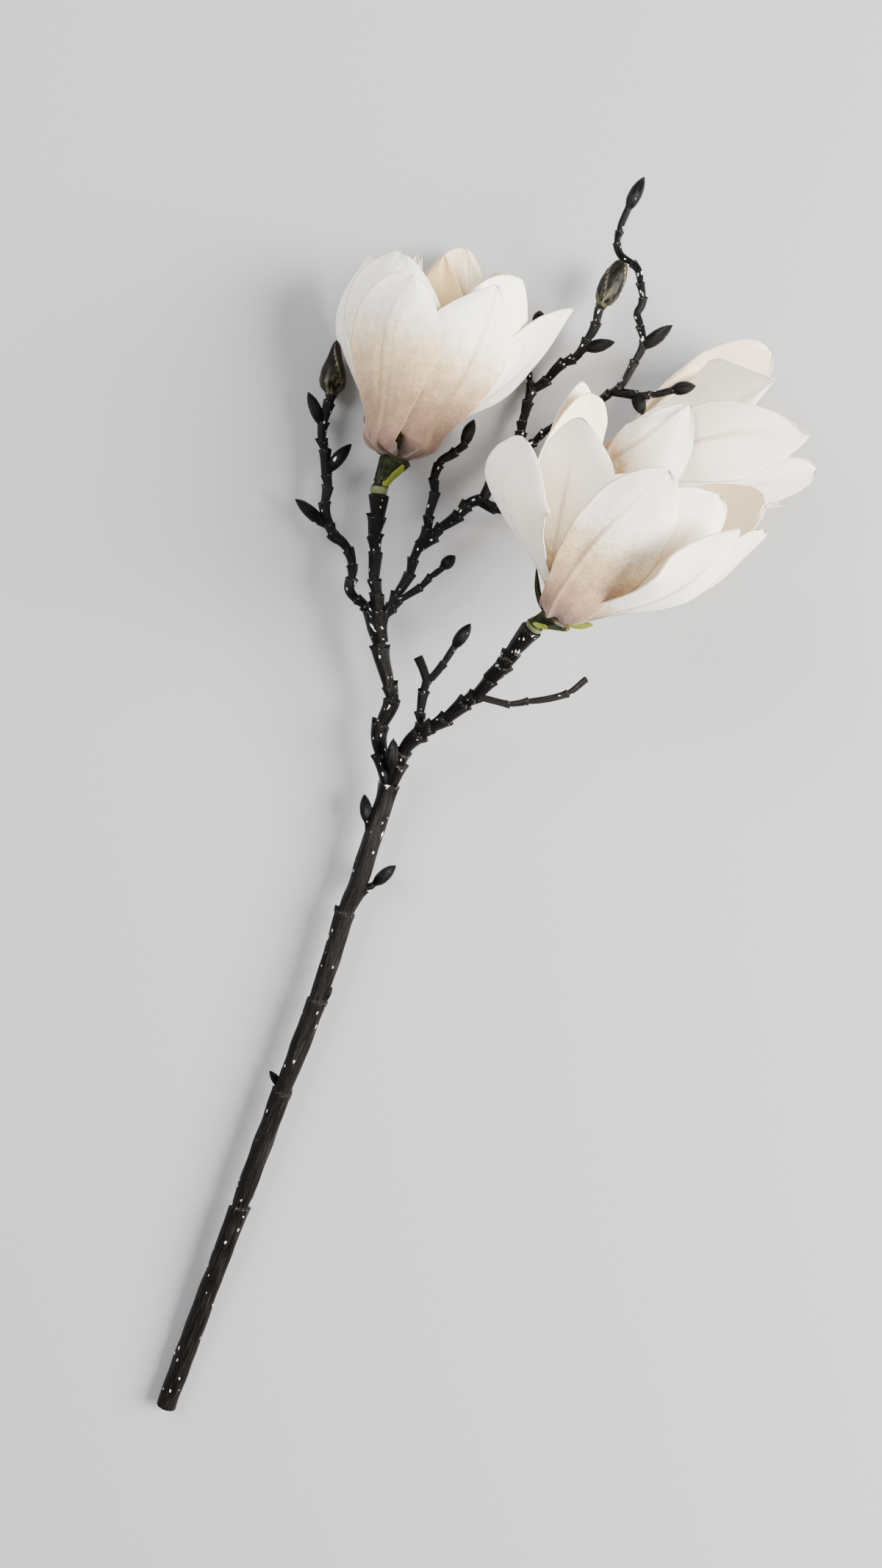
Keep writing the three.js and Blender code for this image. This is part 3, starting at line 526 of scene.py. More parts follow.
def addWood(heap, name, seed):
    facts = {**woodDefaults, **woodRoutes[name]}
    finish = woodFinish
    length = smoothRoute(facts["route"], 8)[1]
    count = max(8, int(length / finish["stepLength"]))
    line, length = smoothRoute(facts["route"], count)
    right, under = ringFrames(line)
    sides = 36 if facts["radii"][0] > 3 else 24
    angles = 2 * math.pi * (np.arange(sides) + 0.5) / sides
    along = np.linspace(0, length, count)
    random = np.random.default_rng(seed + 40)
    joints = jointPlaces(facts, length)
    radius = np.interp(along, [0, length], facts["radii"])
    if "cone" in facts:
        wide = facts["cone"]
        cone = np.interp(length - along, [0, 0.6, 1.6, facts["coneLength"]],
                         [wide * 0.96, wide, wide * 0.96, facts["radii"][1]])
        radius = np.maximum(radius, cone)
    swing = [0] + [(-1) ** number for number in range(len(joints))] + [0]
    zigzag = np.interp(along, [0, *joints, length], swing) * facts["zigzag"]
    line = line + right * zigzag[:, None]

    # every length swells to a jagged rim with pointed teeth, and the next starts narrower inside it
    strength = facts["flare"]
    rims, leans = [np.zeros(sides)], []
    for number, place in enumerate(joints):
        named = facts["teeth"][number] if "teeth" in facts else None
        reach = jaggedRim(random, angles, number + seed, named)
        if named:
            reach = reach * (0.5 if named.islower() else 1.35)
        uneven = 0.3 * np.sin(2 * angles + random.uniform(0, 6)) + 0.15 * np.sin(5 * angles + place)
        here = np.interp(place, along, radius)
        rims.append(place + finish["toothLength"] * here * reach * strength + 0.25 * uneven * here)
        leans.append(strength * (finish["flare"] + finish["toothFlare"] * reach))
    endReach = jaggedRim(random, angles, seed)
    ends = "rimEnd" in facts
    leans.append((0.08 + 0.16 * endReach) if ends else np.zeros(sides))
    rims.append(np.full(sides, length) - (0.8 * (1 - endReach) if ends else 0))
    rims, leans = np.array(rims), np.array(leans)
    passed = (along[:, None, None] > rims[None, 1:-1]).sum(1)
    column = np.arange(sides)[None]
    since = along[:, None] - rims[passed, column]
    left = np.maximum(rims[passed + 1, column] - along[:, None], 0)
    thick = radius[:, None]
    flare = leans[passed, column] * np.exp(-left / (0.95 * thick))
    neck = finish["neck"] * math.sqrt(strength) * np.exp(-np.maximum(since, 0) / (1.9 * thick)) * (passed > 0)
    aroundX, aroundY = np.cos(angles), np.sin(angles)

    def bumpsOf(fine, shiftX, shiftY, slow):
        return np.array([[noise.noise(Vector((x * fine + shiftX, y * fine + shiftY, d * slow)))
                          for x, y in zip(aroundX, aroundY)] for d in along])

    wobble = bumpsOf(1.1, seed * 7.3, 0, 0.11)
    ridge = bumpsOf(4.2, 0, seed * 3.1, 0.055)
    total = thick * (1 + flare - neck + finish["knobble"] * wobble + finish["ridge"] * ridge)
    rings = ringsAround(line, right, under, total * aroundX, total * aroundY)
    maps = stacked(total, angles * thick + seed * 31.0, along[:, None] + seed * 17.0)
    # closeness to a rim, which brings larger flecks and rim marks there: paint and wear, partly painted
    # highlights on the sharp rims
    nearRim = np.exp(-(left / 0.9) ** 2) + 0.7 * np.exp(-(since / 0.6) ** 2) * (passed > 0)
    dusted = np.clip(nearRim * (leans.max() > 0), 0, 1)
    tones = stacked(total, dusted, facts["brown"], facts["flecks"], facts["gloss"])
    if "cone" in facts:
        # the mouth of the socket turns in and goes down inside
        tangent = tangentsOf(line)[-1]
        for inset, drop in ((0.90, 0.0), (0.84, 0.35), (0.80, 1.6)):
            inner = line[-1] + (rings[count - 1] - line[-1]) * inset - tangent * drop
            rings = np.concatenate([rings, inner[None]])
            maps = np.concatenate([maps, maps[-1:] + [0, 0.4]])
            tones = np.concatenate([tones, tones[-1:]])
    addTube(heap, rings, maps, tones)


# foot and tip of each small bud, and of each pointed scale on the stem, in mm
smallBuds = [
    ((-42.2, -5, 11.8), (-43.4, 6.9, 12)),
    ((-40.3, -29.4, 9.8), (-31, -21.5, 9.5)),
    ((-32.2, 15.5, 18.5), (-31.4, 28.8, 22)),
    ((-58, 112.5, 14), (-70.5, 123.5, 14)),
    ((-59.7, 152.5, 10.8), (-65.9, 166.8, 10)),
    ((-58.5, 134, 13), (-48.5, 145.5, 13)),
    ((-4.4, 144.9, 11), (0.2, 156.3, 8.5)),
    ((25.3, 193, 6.6), (26.6, 200.6, 6)),
    ((43.2, 183.2, 12.3), (55.8, 186, 12.5)),
    ((57, 226.5, 42), (63.5, 239.5, 42)),
    ((61.5, 173.5, 46), (73.5, 182.5, 46)),
    ((72.5, 158, 47), (82, 159.5, 47)),
    ((59.5, 157.5, 46), (62.5, 149, 46)),
    ((-13, 95.1, 20), (-7.4, 100.2, 20)),
    ((-8.5, 63.5, 22), (-1.5, 73.5, 22)),
]
stemScales = [
    ((-92, -158, 6.5), (-87.5, -149.5, 7)),
    ((-76, -111, 7), (-81.5, -103.5, 7.5)),
    ((-77.5, -118, 7), (-72.5, -110.5, 7.5)),
    ((-61.7, -77, 8), (-56.4, -70, 8.5)),
    ((-52, -46, 9), (-55, -37, 9.5)),
]
smallBudShape = {
    "along": [0, 0.05, 0.12, 0.22, 0.36, 0.52, 0.64, 0.78, 0.89, 0.96, 1.0],
    "share": [0.44, 0.44, 0.58, 0.82, 0.98, 1.0, 0.94, 0.74, 0.48, 0.25, 0.06],
    "folds": ((0, 1.5, 0.13), (2.4, -1.2, 0.09), (4.4, 1.9, 0.08)),
    "radius": 2.45,
    "scaleRadius": 1.7,
    "scaleFlat": 0.7,
}


def addSmallBud(heap, foot, tip, seed, radius, flat=1.0):
    # an ovate bud with three scales folded over each other towards its tip
    foot, tip = np.array(foot, float), np.array(tip, float)
    line, length = smoothRoute([foot, foot + (tip - foot) * 0.5 + [0, 0, 0.3], tip], 44)
    angles = anglesOf(28)
    t = np.linspace(0, 1, len(line))[:, None]
    share = softened(np.interp(t[:, 0], smallBudShape["along"], smallBudShape["share"]))
    lapped = 0
    for start, twist, height in smallBudShape["folds"]:
        fold = (angles + seed * 1.7 + start + twist * t) % (2 * math.pi)
        lapped = lapped + height * np.exp(-fold / 0.7) * np.minimum(1, t * 5)
    total = radius * share[:, None] * (1 + lapped)
    addTube(heap, ringsAround(line, *ringFrames(line), total * np.cos(angles), flat * total * np.sin(angles)),
            stacked(total, angles * radius + seed * 5, t * length + seed * 9),
            stacked(total, 0.5 * np.exp(-(t / 0.10) ** 2), 0.05, 0.03, 1))


def buildBranch():
    heap = MeshHeap()
    for seed, name in enumerate(woodRoutes):
        addWood(heap, name, seed)
    for seed, (foot, tip) in enumerate(smallBuds):
        addSmallBud(heap, foot, tip, seed, smallBudShape["radius"])
    for seed, (foot, tip) in enumerate(stemScales):
        addSmallBud(heap, foot, tip, seed + 20, smallBudShape["scaleRadius"], smallBudShape["scaleFlat"])
    heap.makePiece("branchWood", paintedBark, "branch")


buildBranch()
print("branch made")


# ---- the blooms

# inner and the tan amount set each petal's painted shade: on its inner face, and over the whole petal
petalDefaults = dict(hem=(11, 5), neck=None, width=38, lean=0, cup=28, hemCup=60, tipCup=25, roll=0,
                     point=0.5, sharp=2.4, base=0.38, widest=(0.62, 0.62), waist=1.5, claw=0.5,
                     ruffle=1.0, curl=(0.9, 0.3), dust=0.3, paintedShadeTan=0, inner=1, fray=0.012)
rootRadius = 4.0
petalThickness = 0.5
petalGap = 0.05
petalRows = 64
petalColumns = 41
petalFold = {"rib": 0.55, "vein": 0.09, "hem": 0.55}

# the bloom on the left limb
leftPetals = [
    dict(curl=(2.2, 0.2), belly=(-33, 26, 45), tip=(-23, 24, 64), hem=(16, 2), neck=(17, 12),
        width=39, lean=0.15, cup=30, base=0.32, widest=(0.62, 0.65), sharp=3, point=0.7, dust=1),
    dict(curl=(0.2, 1.0), belly=(49, 28, 45), tip=(42, 33.5, 67), hem=(14, 4), neck=(15.5, 12),
        width=40, lean=-0.3, cup=27, roll=-22, base=0.4, widest=(0.57, 0.6), sharp=2.2, point=1,
        dust=0.85),
    dict(curl=(2.0, 0.4), belly=(-56, 25, 50), tip=(-45, 22, 73), hem=(12.5, 4.5), neck=(12, 15),
        width=49, lean=0.35, cup=32, tipCup=30, roll=20, base=0.2, widest=(0.72, 0.65), point=0.75,
        dust=0.8),
    dict(belly=(-103, 34, 49), tip=(-77, 27, 71), hem=(15, 5), neck=(16.5, 15), width=33, cup=30,
        roll=27, base=0.33, widest=(0.58, 0.62), dust=0.6),
    dict(belly=(71, 32, 50), tip=(70, 31, 76), hem=(12, 6), neck=(15, 14.5), width=35, lean=-0.35,
        cup=27, roll=-29, widest=(0.7, 0.65), sharp=2.7, point=0.65, dust=0.5),
    dict(belly=(99, 39, 46), tip=(100, 53, 75), hem=(12, 6.5), neck=(15, 16), width=32, lean=-0.2,
        cup=31, roll=-28, widest=(0.6, 0.6), sharp=2.1, point=0.8, dust=0.4),
    dict(belly=(162, 17, 46), tip=(189, 14, 85), hem=(10, 6), width=29, lean=0.1, cup=30, roll=3,
        widest=(0.6, 0.67), sharp=1.5, point=0.95, dust=0.15, paintedShadeTan=1),
    dict(belly=(141, 25, 43), tip=(167, 19, 91), hem=(11, 6), width=33, lean=0.35, cup=36, roll=6,
        widest=(0.57, 0.65), sharp=2.1, point=0.6, dust=0.1, paintedShadeTan=0.35),
    dict(belly=(115, 25, 46), tip=(121, 24, 83), hem=(11, 6), width=34, lean=-0.1, cup=34),
    dict(belly=(-144, 20, 42), tip=(-141, 19, 84), hem=(11, 4), width=12, cup=38, dust=0.2,
        fray=0.08),
    dict(belly=(-178, 26.5, 42), tip=(-175, 19, 81), hem=(8, 6), cup=38, point=0.6, dust=0.6),
]
# the open bloom on the right limb
rightPetals = [
    dict(belly=(-8, 22, 28), tip=(4, 35, 68), hem=(14, 1), width=36, lean=0.3, cup=14, roll=24,
        base=0.45, widest=(0.66, 0.48), sharp=3, point=0.8, dust=0.74),
    dict(inner=0.1, curl=(0.6, 0), ruffle=0.5, belly=(-58, 47, 30), tip=(-55, 53, 49), hem=(9, 6),
        width=46, lean=0.1, cup=14, roll=8, base=0.2, widest=(0.67, 0.8), sharp=1.4, point=0.7,
        dust=0.12),
    dict(inner=0.05, belly=(-56, 24, 34), tip=(-59, 37, 64), hem=(8.5, 5), width=40, lean=0.15,
        cup=24, roll=27, widest=(0.66, 0.53), sharp=2, point=0.75),
    dict(belly=(-112, 33, 44), tip=(-106, 37, 70), hem=(8, 6), width=36, cup=27, roll=-16,
        widest=(0.6, 0.63), sharp=2.2, point=0.4, dust=0.45),
    dict(belly=(-119, 38, 42), tip=(-112, 44, 71), hem=(9, 6), width=32, lean=-0.1, cup=38, roll=-6,
        widest=(0.62, 0.64), point=0.7),
    dict(belly=(62, 25, 48), tip=(53, 27, 69), hem=(9, 5), width=39, lean=-0.35, cup=30, roll=-20,
        widest=(0.7, 0.64), point=0.6, dust=0.2, inner=0.6),
    dict(belly=(65, 32, 32), tip=(58, 40, 64), hem=(9, 5), width=34, cup=14, roll=-8, base=0.45,
        widest=(0.7, 0.52), sharp=1.7, point=0.8, dust=0.22, inner=0.5),
    dict(belly=(139, 29, 40), tip=(114, 41, 74), hem=(9, 5), width=45, lean=-0.2, cup=38, roll=11,
        widest=(0.67, 0.58), sharp=2.2, point=0.6, dust=0.15, paintedShadeTan=0.35),
    dict(belly=(103, 39, 36), tip=(97, 43, 66), hem=(10, 4), width=32, lean=0.1, cup=38, roll=-30,
        dust=0.4, paintedShadeTan=0.35),
    dict(belly=(178, 20, 34), tip=(178, 19, 56), hem=(9, 5), cup=38, dust=0.4),
]
# the bloom behind it
backPetals = [
    dict(belly=(-11, 24, 19), tip=(-25, 26, 40), hem=(12.5, 5), width=33, lean=0.35, cup=34,
        base=0.33, widest=(0.47, 0.52), sharp=1.4, point=0.7, dust=0.38, paintedShadeTan=0.12),
    dict(belly=(12, 24, 44), tip=(29, 30, 77), hem=(9, 5), width=32, cup=29, roll=-10, base=0.43,
        widest=(0.56, 0.67), sharp=1.6, point=0.8, dust=0.2, paintedShadeTan=0.12),
    dict(belly=(-64, 9, 45), tip=(-28, 22, 73), hem=(10.5, 5), width=32, lean=-0.3, cup=30, roll=38,
        base=0.34, widest=(0.72, 0.5), sharp=1.4, point=1),
    dict(belly=(-132, 29, 42), tip=(-110, 28, 81), hem=(9, 7), width=40, lean=0.1, cup=42, roll=-12,
        base=0.27, widest=(0.63, 0.78), point=0.55, dust=0.25),
    dict(belly=(67, 25, 42), tip=(58, 30, 78), hem=(11, 4), width=28, cup=34, roll=-6, base=0.34,
        widest=(0.61, 0.78), sharp=1.7, dust=0.35),
    dict(belly=(117, 28, 38), tip=(106, 33, 66), hem=(12, 4), width=34, lean=0.1, cup=38, roll=-14,
        dust=0.35),
    dict(belly=(178, 26.5, 40), tip=(172, 18, 76), hem=(9, 6), cup=38, dust=0.5),
    dict(belly=(-146, 24, 40), tip=(-140, 24, 72), hem=(11, 4), width=36, cup=38),
]
blooms = {
    "bloom1": dict(node="bloom_1", foot=(-30, 137.5, 24), heading=76, lift=2, seed=11, petals=leftPetals),
    "bloom2": dict(node="bloom_2", foot=(30, 73.5, 58), heading=55, lift=20, seed=23, petals=rightPetals),
    "bloom3": dict(node="bloom_3", foot=(47.5, 130, 21.5), heading=18, lift=5, seed=37, petals=backPetals),
}


def around(turn, out, up):
    return np.array([out * math.sin(math.radians(turn)), out * math.cos(math.radians(turn)), up])


def bloomFrame(bloom):
    # right, front and axis of a bloom
    heading, lift = math.radians(bloom["heading"]), math.radians(bloom["lift"])
    axis = np.array([math.cos(heading) * math.cos(lift), math.sin(heading) * math.cos(lift), math.sin(lift)])
    front = unit(np.array([0, 0, 1.0]) - axis * axis[2])
    return np.stack([np.cross(axis, front), front, axis])


def petalOutline(petal, t, widest):
    claw = petal["claw"] + (1 - petal["claw"]) * ease(t / 0.12)
    rising = petal["base"] + (1 - petal["base"]) * ease(t / widest) ** petal["waist"]
    past = np.clip((t - widest) / (1 - widest), 0, 1)
    falling = np.clip(1 - past ** petal["sharp"], 0, 1) ** petal["point"]
    return claw * np.where(t < widest, rising, falling)


def petalSheet(petal, seed):
    # the middle surface of a petal, rows from foot to tip, with its place in mm over the cloth
    turn, out, up = petal["belly"]
    tipTurn, tipOut, tipUp = petal["tip"]
    stops = [around(turn, rootRadius, 0), around(turn, *petal["hem"])]
    if petal["neck"]:
        stops.append(around(turn, *petal["neck"]))
    stops += [around(turn, out, up), around(tipTurn, tipOut, tipUp)]
    spine, length = smoothRoute(stops, petalRows)
    t = np.linspace(0, 1, petalRows)
    facing = np.radians(turn + (tipTurn - turn) * ease((t - 0.35) / 0.65))
    flat = np.stack([np.cos(facing), -np.sin(facing), 0 * facing], -1)
    outward = np.stack([np.sin(facing), np.cos(facing), 0 * facing], -1)
    tangent = tangentsOf(spine)
    across = unit(flat - tangent * (flat * tangent).sum(1)[:, None])
    inward = np.cross(across, tangent)
    flip = (inward * outward).sum(1) > 0.5 * inward[:, 2]
    inward[flip] *= -1
    roll = np.radians(petal["roll"]) * ease(t / 0.4)
    across, inward = (across * np.cos(roll)[:, None] + inward * np.sin(roll)[:, None],
                      inward * np.cos(roll)[:, None] - across * np.sin(roll)[:, None])
    bend = np.radians(petal["cup"] + (petal["hemCup"] - petal["cup"]) * np.exp(-t / 0.15)
                      + (petal["tipCup"] - petal["cup"]) * ease((t - 0.5) / 0.5))
    side = np.linspace(-1, 1, petalColumns)
    side = np.sign(side) * np.abs(side) ** 0.9
    T, S = t[:, None], side[None, :]
    random = np.random.default_rng(seed)
    phase = random.uniform(0, 6.28, 12)
    halves = []
    for share, widest, start in ((1 - petal["lean"], petal["widest"][0], phase[6]),
                                 (1 + petal["lean"], petal["widest"][1], phase[7])):
        uneven = 1 + 0.012 * np.sin(33 * t + start) + 0.006 * np.sin(71 * t + 2 * start)
        halves.append(np.maximum(0.35, petal["width"] / 2 * share * petalOutline(petal, t, widest) * uneven))
    half = np.where(S < 0, halves[0][:, None], halves[1][:, None])
    sweep = half * np.sin(bend[:, None] * S) / bend[:, None]
    lift = half * (1 - np.cos(bend[:, None] * S)) / bend[:, None]

    # soft waves, the edge turned back, the midrib and the faint veins
    grown = ease((T - 0.12) / 0.45)
    wave = (np.sin(2 * math.pi * (1.7 * T + 0.25 * S) + phase[0]) * 0.5
            + np.sin(2 * math.pi * (3.1 * T - 0.3 * S) + phase[1]) * 0.3)
    lift = lift + petal["ruffle"] * np.abs(S) ** 2.5 * wave * grown
    curl = np.where(S < 0, petal["curl"][0], petal["curl"][1])
    lift = lift - curl * np.abs(S) ** 4 * ease((T - 0.15) / 0.3)
    soft = (np.sin(2.6 * T * math.pi + phase[2]) * np.sin(1.6 * S * math.pi + phase[3]) * 0.35
            + np.sin(4.3 * T * math.pi + phase[4]) * np.cos(2.3 * S * math.pi + phase[5]) * 0.15)
    lift = lift + soft * grown
    ribLine = sweep - 1.2 * np.sin(2.2 * T + phase[8])
    lift = lift - petalFold["rib"] * np.exp(-(ribLine / 0.6) ** 2) * (1 - 0.6 * T) * ease(T / 0.1)
    lift = lift + 0.5 * petalFold["rib"] * np.exp(-((ribLine - 1.6) / 0.9) ** 2) * (1 - T) * ease(T / 0.1)
    for line, strength in ((0.28, 1.0), (-0.30, 1.0), (0.56, 0.8), (-0.58, 0.8)):
        vein = np.exp(-((S - line * (1 - 0.3 * T)) / 0.035) ** 2) * grown
        lift = lift - petalFold["vein"] * strength * vein
    hemWave = np.sin(2.3 * S * math.pi + phase[9]) + 0.6 * np.sin(4.1 * S * math.pi + phase[10])
    lift = lift - petalFold["hem"] * hemWave * np.exp(-((T - 0.10) / 0.07) ** 2)
    points = spine[:, None, :] + sweep[..., None] * across[:, None, :] + lift[..., None] * inward[:, None, :]

    # the tip is cut a little ragged: each column ends at its own share of the length
    ragged = np.abs(np.sin(11.3 * side + phase[11])) * 0.6 + np.abs(np.sin(27.1 * side + phase[9])) * 0.4
    for column in range(petalColumns):
        reach = t * (1 - petal["fray"] * ragged[column] * ease((t - 0.6) / 0.4))
        points[:, column] = placeOn(points[:, column], t, reach)
    maps = stacked(half, half * S + 40, T * length)
    ribShade = np.exp(-((ribLine + 0.9) / 1.1) ** 2) * (1 - ease((T - 0.55) / 0.4))
    edge = np.maximum(np.abs(S), 0.999 * ease((T - 0.965) / 0.03))
    tones = stacked(half, T, edge, petal["dust"], 0)
    marks = stacked(half, ribShade, petal["paintedShadeTan"], random.uniform(0, 1), petal["inner"])
    return points, maps, tones, marks, inward


def addPetal(heap, sheet, maps, tones, marks, inward, laid):
    # two faces a thickness apart, joined round the edge; tone alpha 1 outside, 0 inside
    normal = unit(np.cross(np.gradient(sheet, axis=0), np.gradient(sheet, axis=1)))
    facing = (normal * inward[:, None, :]).sum(2).mean()
    if facing > 0:
        normal = -normal
    toTip = ease((np.linspace(0, 1, petalRows)[:, None, None] - 0.9) / 0.07)
    normal = unit(normal * (1 - toTip) + normal.mean(1, keepdims=True) * toTip)
    normal[laid] = (0, 0, -1)
    back = petalRows * petalColumns
    at = np.arange(back).reshape(petalRows, petalColumns)
    rim = np.concatenate([at[:-1, 0], at[-1, :-1], at[:0:-1, -1], at[0, :0:-1]])
    after = np.roll(rim, -1)
    quads = np.stack([at[:-1, :-1], at[1:, :-1], at[1:, 1:], at[:-1, 1:]], -1).reshape(-1, 4)
    faces = np.vstack([quads, quads[:, ::-1] + back, np.stack([rim, rim + back, after + back, after], -1)])
    if facing > 0:
        faces = faces[:, ::-1]
    heap.add(np.vstack([(sheet + normal * side * petalThickness / 2).reshape(-1, 3) for side in (1, -1)]),
             faces.tolist(), np.vstack([maps.reshape(-1, 2)] * 2),
             np.vstack([(tones + [0, 0, 0, outside]).reshape(-1, 4) for outside in (1, 0)]),
             np.vstack([marks.reshape(-1, 4)] * 2))


def addDisc(heap, bloom, turned):
    # the small disc that holds the roots of the petals together; it takes the darkest foot colour as painted
    # shade, since it sits in shadow under the petals
    angles = anglesOf(40)
    radius, up = np.array([(3.0, -1.3), (3.6, -1.2), (4.1, -0.8), (4.3, -0.3),
                           (4.4, 0.5), (4.3, 0.9), (4.0, 1.2), (3, 1.2)]).T[..., None]
    size = radius + 0 * angles
    rings = stacked(size, size * np.cos(angles), -size * np.sin(angles), up)
    maps = stacked(size, angles * 5, 4.0 + np.arange(len(size))[:, None])
    # its tone along lies below zero, so it takes the near-black brown foot colour: painted shade
    addTube(heap, bloom["foot"] + rings @ turned, maps,
            stacked(size, -0.2, 0.2, 0.6, 1), stacked(size, 0, 0, 0.5, 1))


def buildPetals(name):
    bloom = blooms[name]
    turned = bloomFrame(bloom)
    heap = MeshHeap()
    made = []
    for number, values in enumerate(bloom["petals"]):
        sheet, maps, tones, marks, inward = petalSheet({**petalDefaults, **values}, bloom["seed"] + number)
        made.append((bloom["foot"] + sheet @ turned, maps + [number * 60, number * 7.7], tones, marks,
                     inward @ turned))
    # what reaches the surface lies flat on it, one petal over the other
    low = petalThickness / 2 + heap.lowest
    for placed, *rest in sorted(made, key=lambda petal: petal[0][..., 2].min()):
        laid = placed[..., 2] < low
        placed[laid, 2] = low
        addPetal(heap, placed, *rest, laid)
        if laid.any():
            low += petalThickness + petalGap
    addDisc(heap, bloom, turned)
    heap.makePiece(name + "Petals", petalCloth, bloom["node"] + "_petals")


for name in blooms:
    buildPetals(name)
print("petals made")


receptacleShape = {
    "along": [0, 0.10, 0.20, 0.25, 0.45, 0.62, 0.80, 0.92, 1.0],
    "radius": [3.1, 3.4, 3.4, 2.9, 3.4, 4.4, 5.5, 6.1, 5.6],
    "gap": 0.3,
    "lobes": 0.09,
    "aside": {"bloom1": (-0.8, 1.6, 0.4), "bloom2": (0, 0, 0), "bloom3": (0, 0, 0)},
}

# bracts lie along the cup, each with the side it is on (degrees round), its start and end along the
# cup, its width in mm and how bright it is
bracts = {
    "bloom1": [(-42, 0.20, 0.86, 5.6, 0.75), (-100, 0.34, 0.95, 4.0, 0.0), (172, 0.34, 0.92, 3.6, 0.0)],
    "bloom2": [(-90, 0.24, 0.62, 4.6, 1.0), (-10, 0.30, 0.97, 4.2, 0.55), (180, 0.30, 0.92, 3.6, 0.05)],
    "bloom3": [(0, 0.25, 1.0, 4.4, 0.8), (-90, 0.30, 0.97, 3.6, 0.4), (180, 0.30, 1.0, 3.6, 0.3)],
}

# thin sepals that reach out from under the petals: a route and a width in mm, and how bright each is
sepals = {
    "bloom1": [([(-33, 140, 16), (-38, 144, 12), (-42, 149.5, 11.5), (-43.2, 157, 14)], 3.0, 0.0)],
    "bloom2": [([(29, 72.5, 55), (25, 76, 54), (22.9, 81, 54.5), (22, 90.5, 56)], 2.6, 0.0),
               ([(31, 72.5, 54), (37, 70.4, 52), (43.5, 69.8, 51)], 4.2, 0.75)],
    "bloom3": [([(46, 128, 19), (50, 124, 17), (58, 122, 17)], 2.8, 0.0)],
}


def addSepal(heap, route, width, bright, number):
    line, length = smoothRoute(route, 30)
    corner = anglesOf(14)
    t = np.linspace(0, 1, 30)[:, None]
    share = np.interp(t, [0, 0.3, 0.7, 0.92, 1], [0.7, 1, 0.8, 0.35, 0.08])
    across = share * width / 2 * np.cos(corner)
    down = share * (0.32 * np.sin(corner) + 0.5 * np.cos(corner) ** 2)
    addTube(heap, ringsAround(line, *ringFrames(line), across, down),
            stacked(across, corner * 1.4 + number * 7, t * length),
            stacked(across, 0, 1 - bright, 0.3 * (1 - bright), 1))


def buildReceptacle(name, socketName):
    bloom = blooms[name]
    axis = bloomFrame(bloom)[2]
    shape = receptacleShape
    before, start = np.array(woodRoutes[socketName]["route"][-2:], float)
    heading = unit(start - before)
    top = bloom["foot"] + axis * (-1.4 - 1.5 * shape["gap"]) + shape["aside"][name]
    line, length = smoothRoute([start + heading * shape["gap"], start + heading * 2.5,
                                top - axis * 1.5, top], 60)
    along = np.linspace(0, 1, len(line))
    right, under = ringFrames(line, unit(heading + (axis - heading) * along[:, None]))
    radius = np.interp(along, shape["along"], shape["radius"])

    def skinAt(t, angle, lift):
        # points over the side of the cup, in rows
        lobes = 1 + shape["lobes"] * ease(t * 1.5 - 0.3) * np.cos(3 * angle)
        lobed = np.interp(t, along, radius) * lobes + lift
        middle, rightHere, underHere = (placeOn(part, along, t) for part in (line, right, under))
        return (middle + rightHere * (lobed * np.cos(angle))[..., None]
                + underHere * (lobed * np.sin(angle))[..., None])

    heap = MeshHeap()
    angles = anglesOf(48)
    t = along[:, None]
    total = radius[:, None] * (1 + shape["lobes"] * ease(t * 1.5 - 0.3) * np.cos(3 * angles)
                               + 0.02 * np.cos(9 * angles) * ease(t * 2 - 0.6))
    pale = ease((0.20 - t) / 0.06)
    addTube(heap, ringsAround(line, right, under, total * np.cos(angles), total * np.sin(angles)),
            stacked(total, angles * 4 + bloom["seed"], t * length),
            stacked(total, 0.85 * pale, 1.0 - 0.3 * pale, ease((t - 0.95) / 0.05), 1))

    corner = anglesOf(14)
    t = np.linspace(0, 1, 26)[:, None]
    for number, (side, low, high, width, bright) in enumerate(bracts[name]):
        up = low + (high - low) * t + 0 * corner
        middle = math.radians(side) + 0.25 * np.sin(3 * t + number)
        wide = width / 2 * np.sin(math.pi * np.minimum(1, 0.12 + 0.80 * t) ** 0.8)
        wide = wide * np.where(t < 0.98, 1.0, 0.6)
        rings = skinAt(up, middle + wide * np.cos(corner) / np.interp(up, along, radius),
                       0.12 + 0.38 * np.sin(corner))
        addTube(heap, rings, stacked(up, corner * 1.5 + number * 9, t * 9),
                stacked(up, 0.1 * bright, 1 - bright, 0.5 * ease((0.1 - t) / 0.1), 1))
    for number, (route, width, bright) in enumerate(sepals[name]):
        addSepal(heap, route, width, bright, number)
    heap.makePiece(name + "Receptacle", mouldedGreen, bloom["node"] + "_receptacle")


# each ring of stamens has its number, how far out they reach and their height in mm
heartShape = {
    "coneAlong": [0, 0.15, 0.45, 0.82, 1],
    "coneRadius": [2.4, 2.9, 2.7, 1.5, 0.3],
    "coneFoot": 1.5,
    "coneHeight": 16.5,
    "stamens": ((12, 3.4, 9.5), (14, 4.3, 10.5)),
    "stamenAlong": [0, 0.3, 0.75, 1],
    "stamenRadius": [0.42, 0.5, 0.42, 0.12],
}


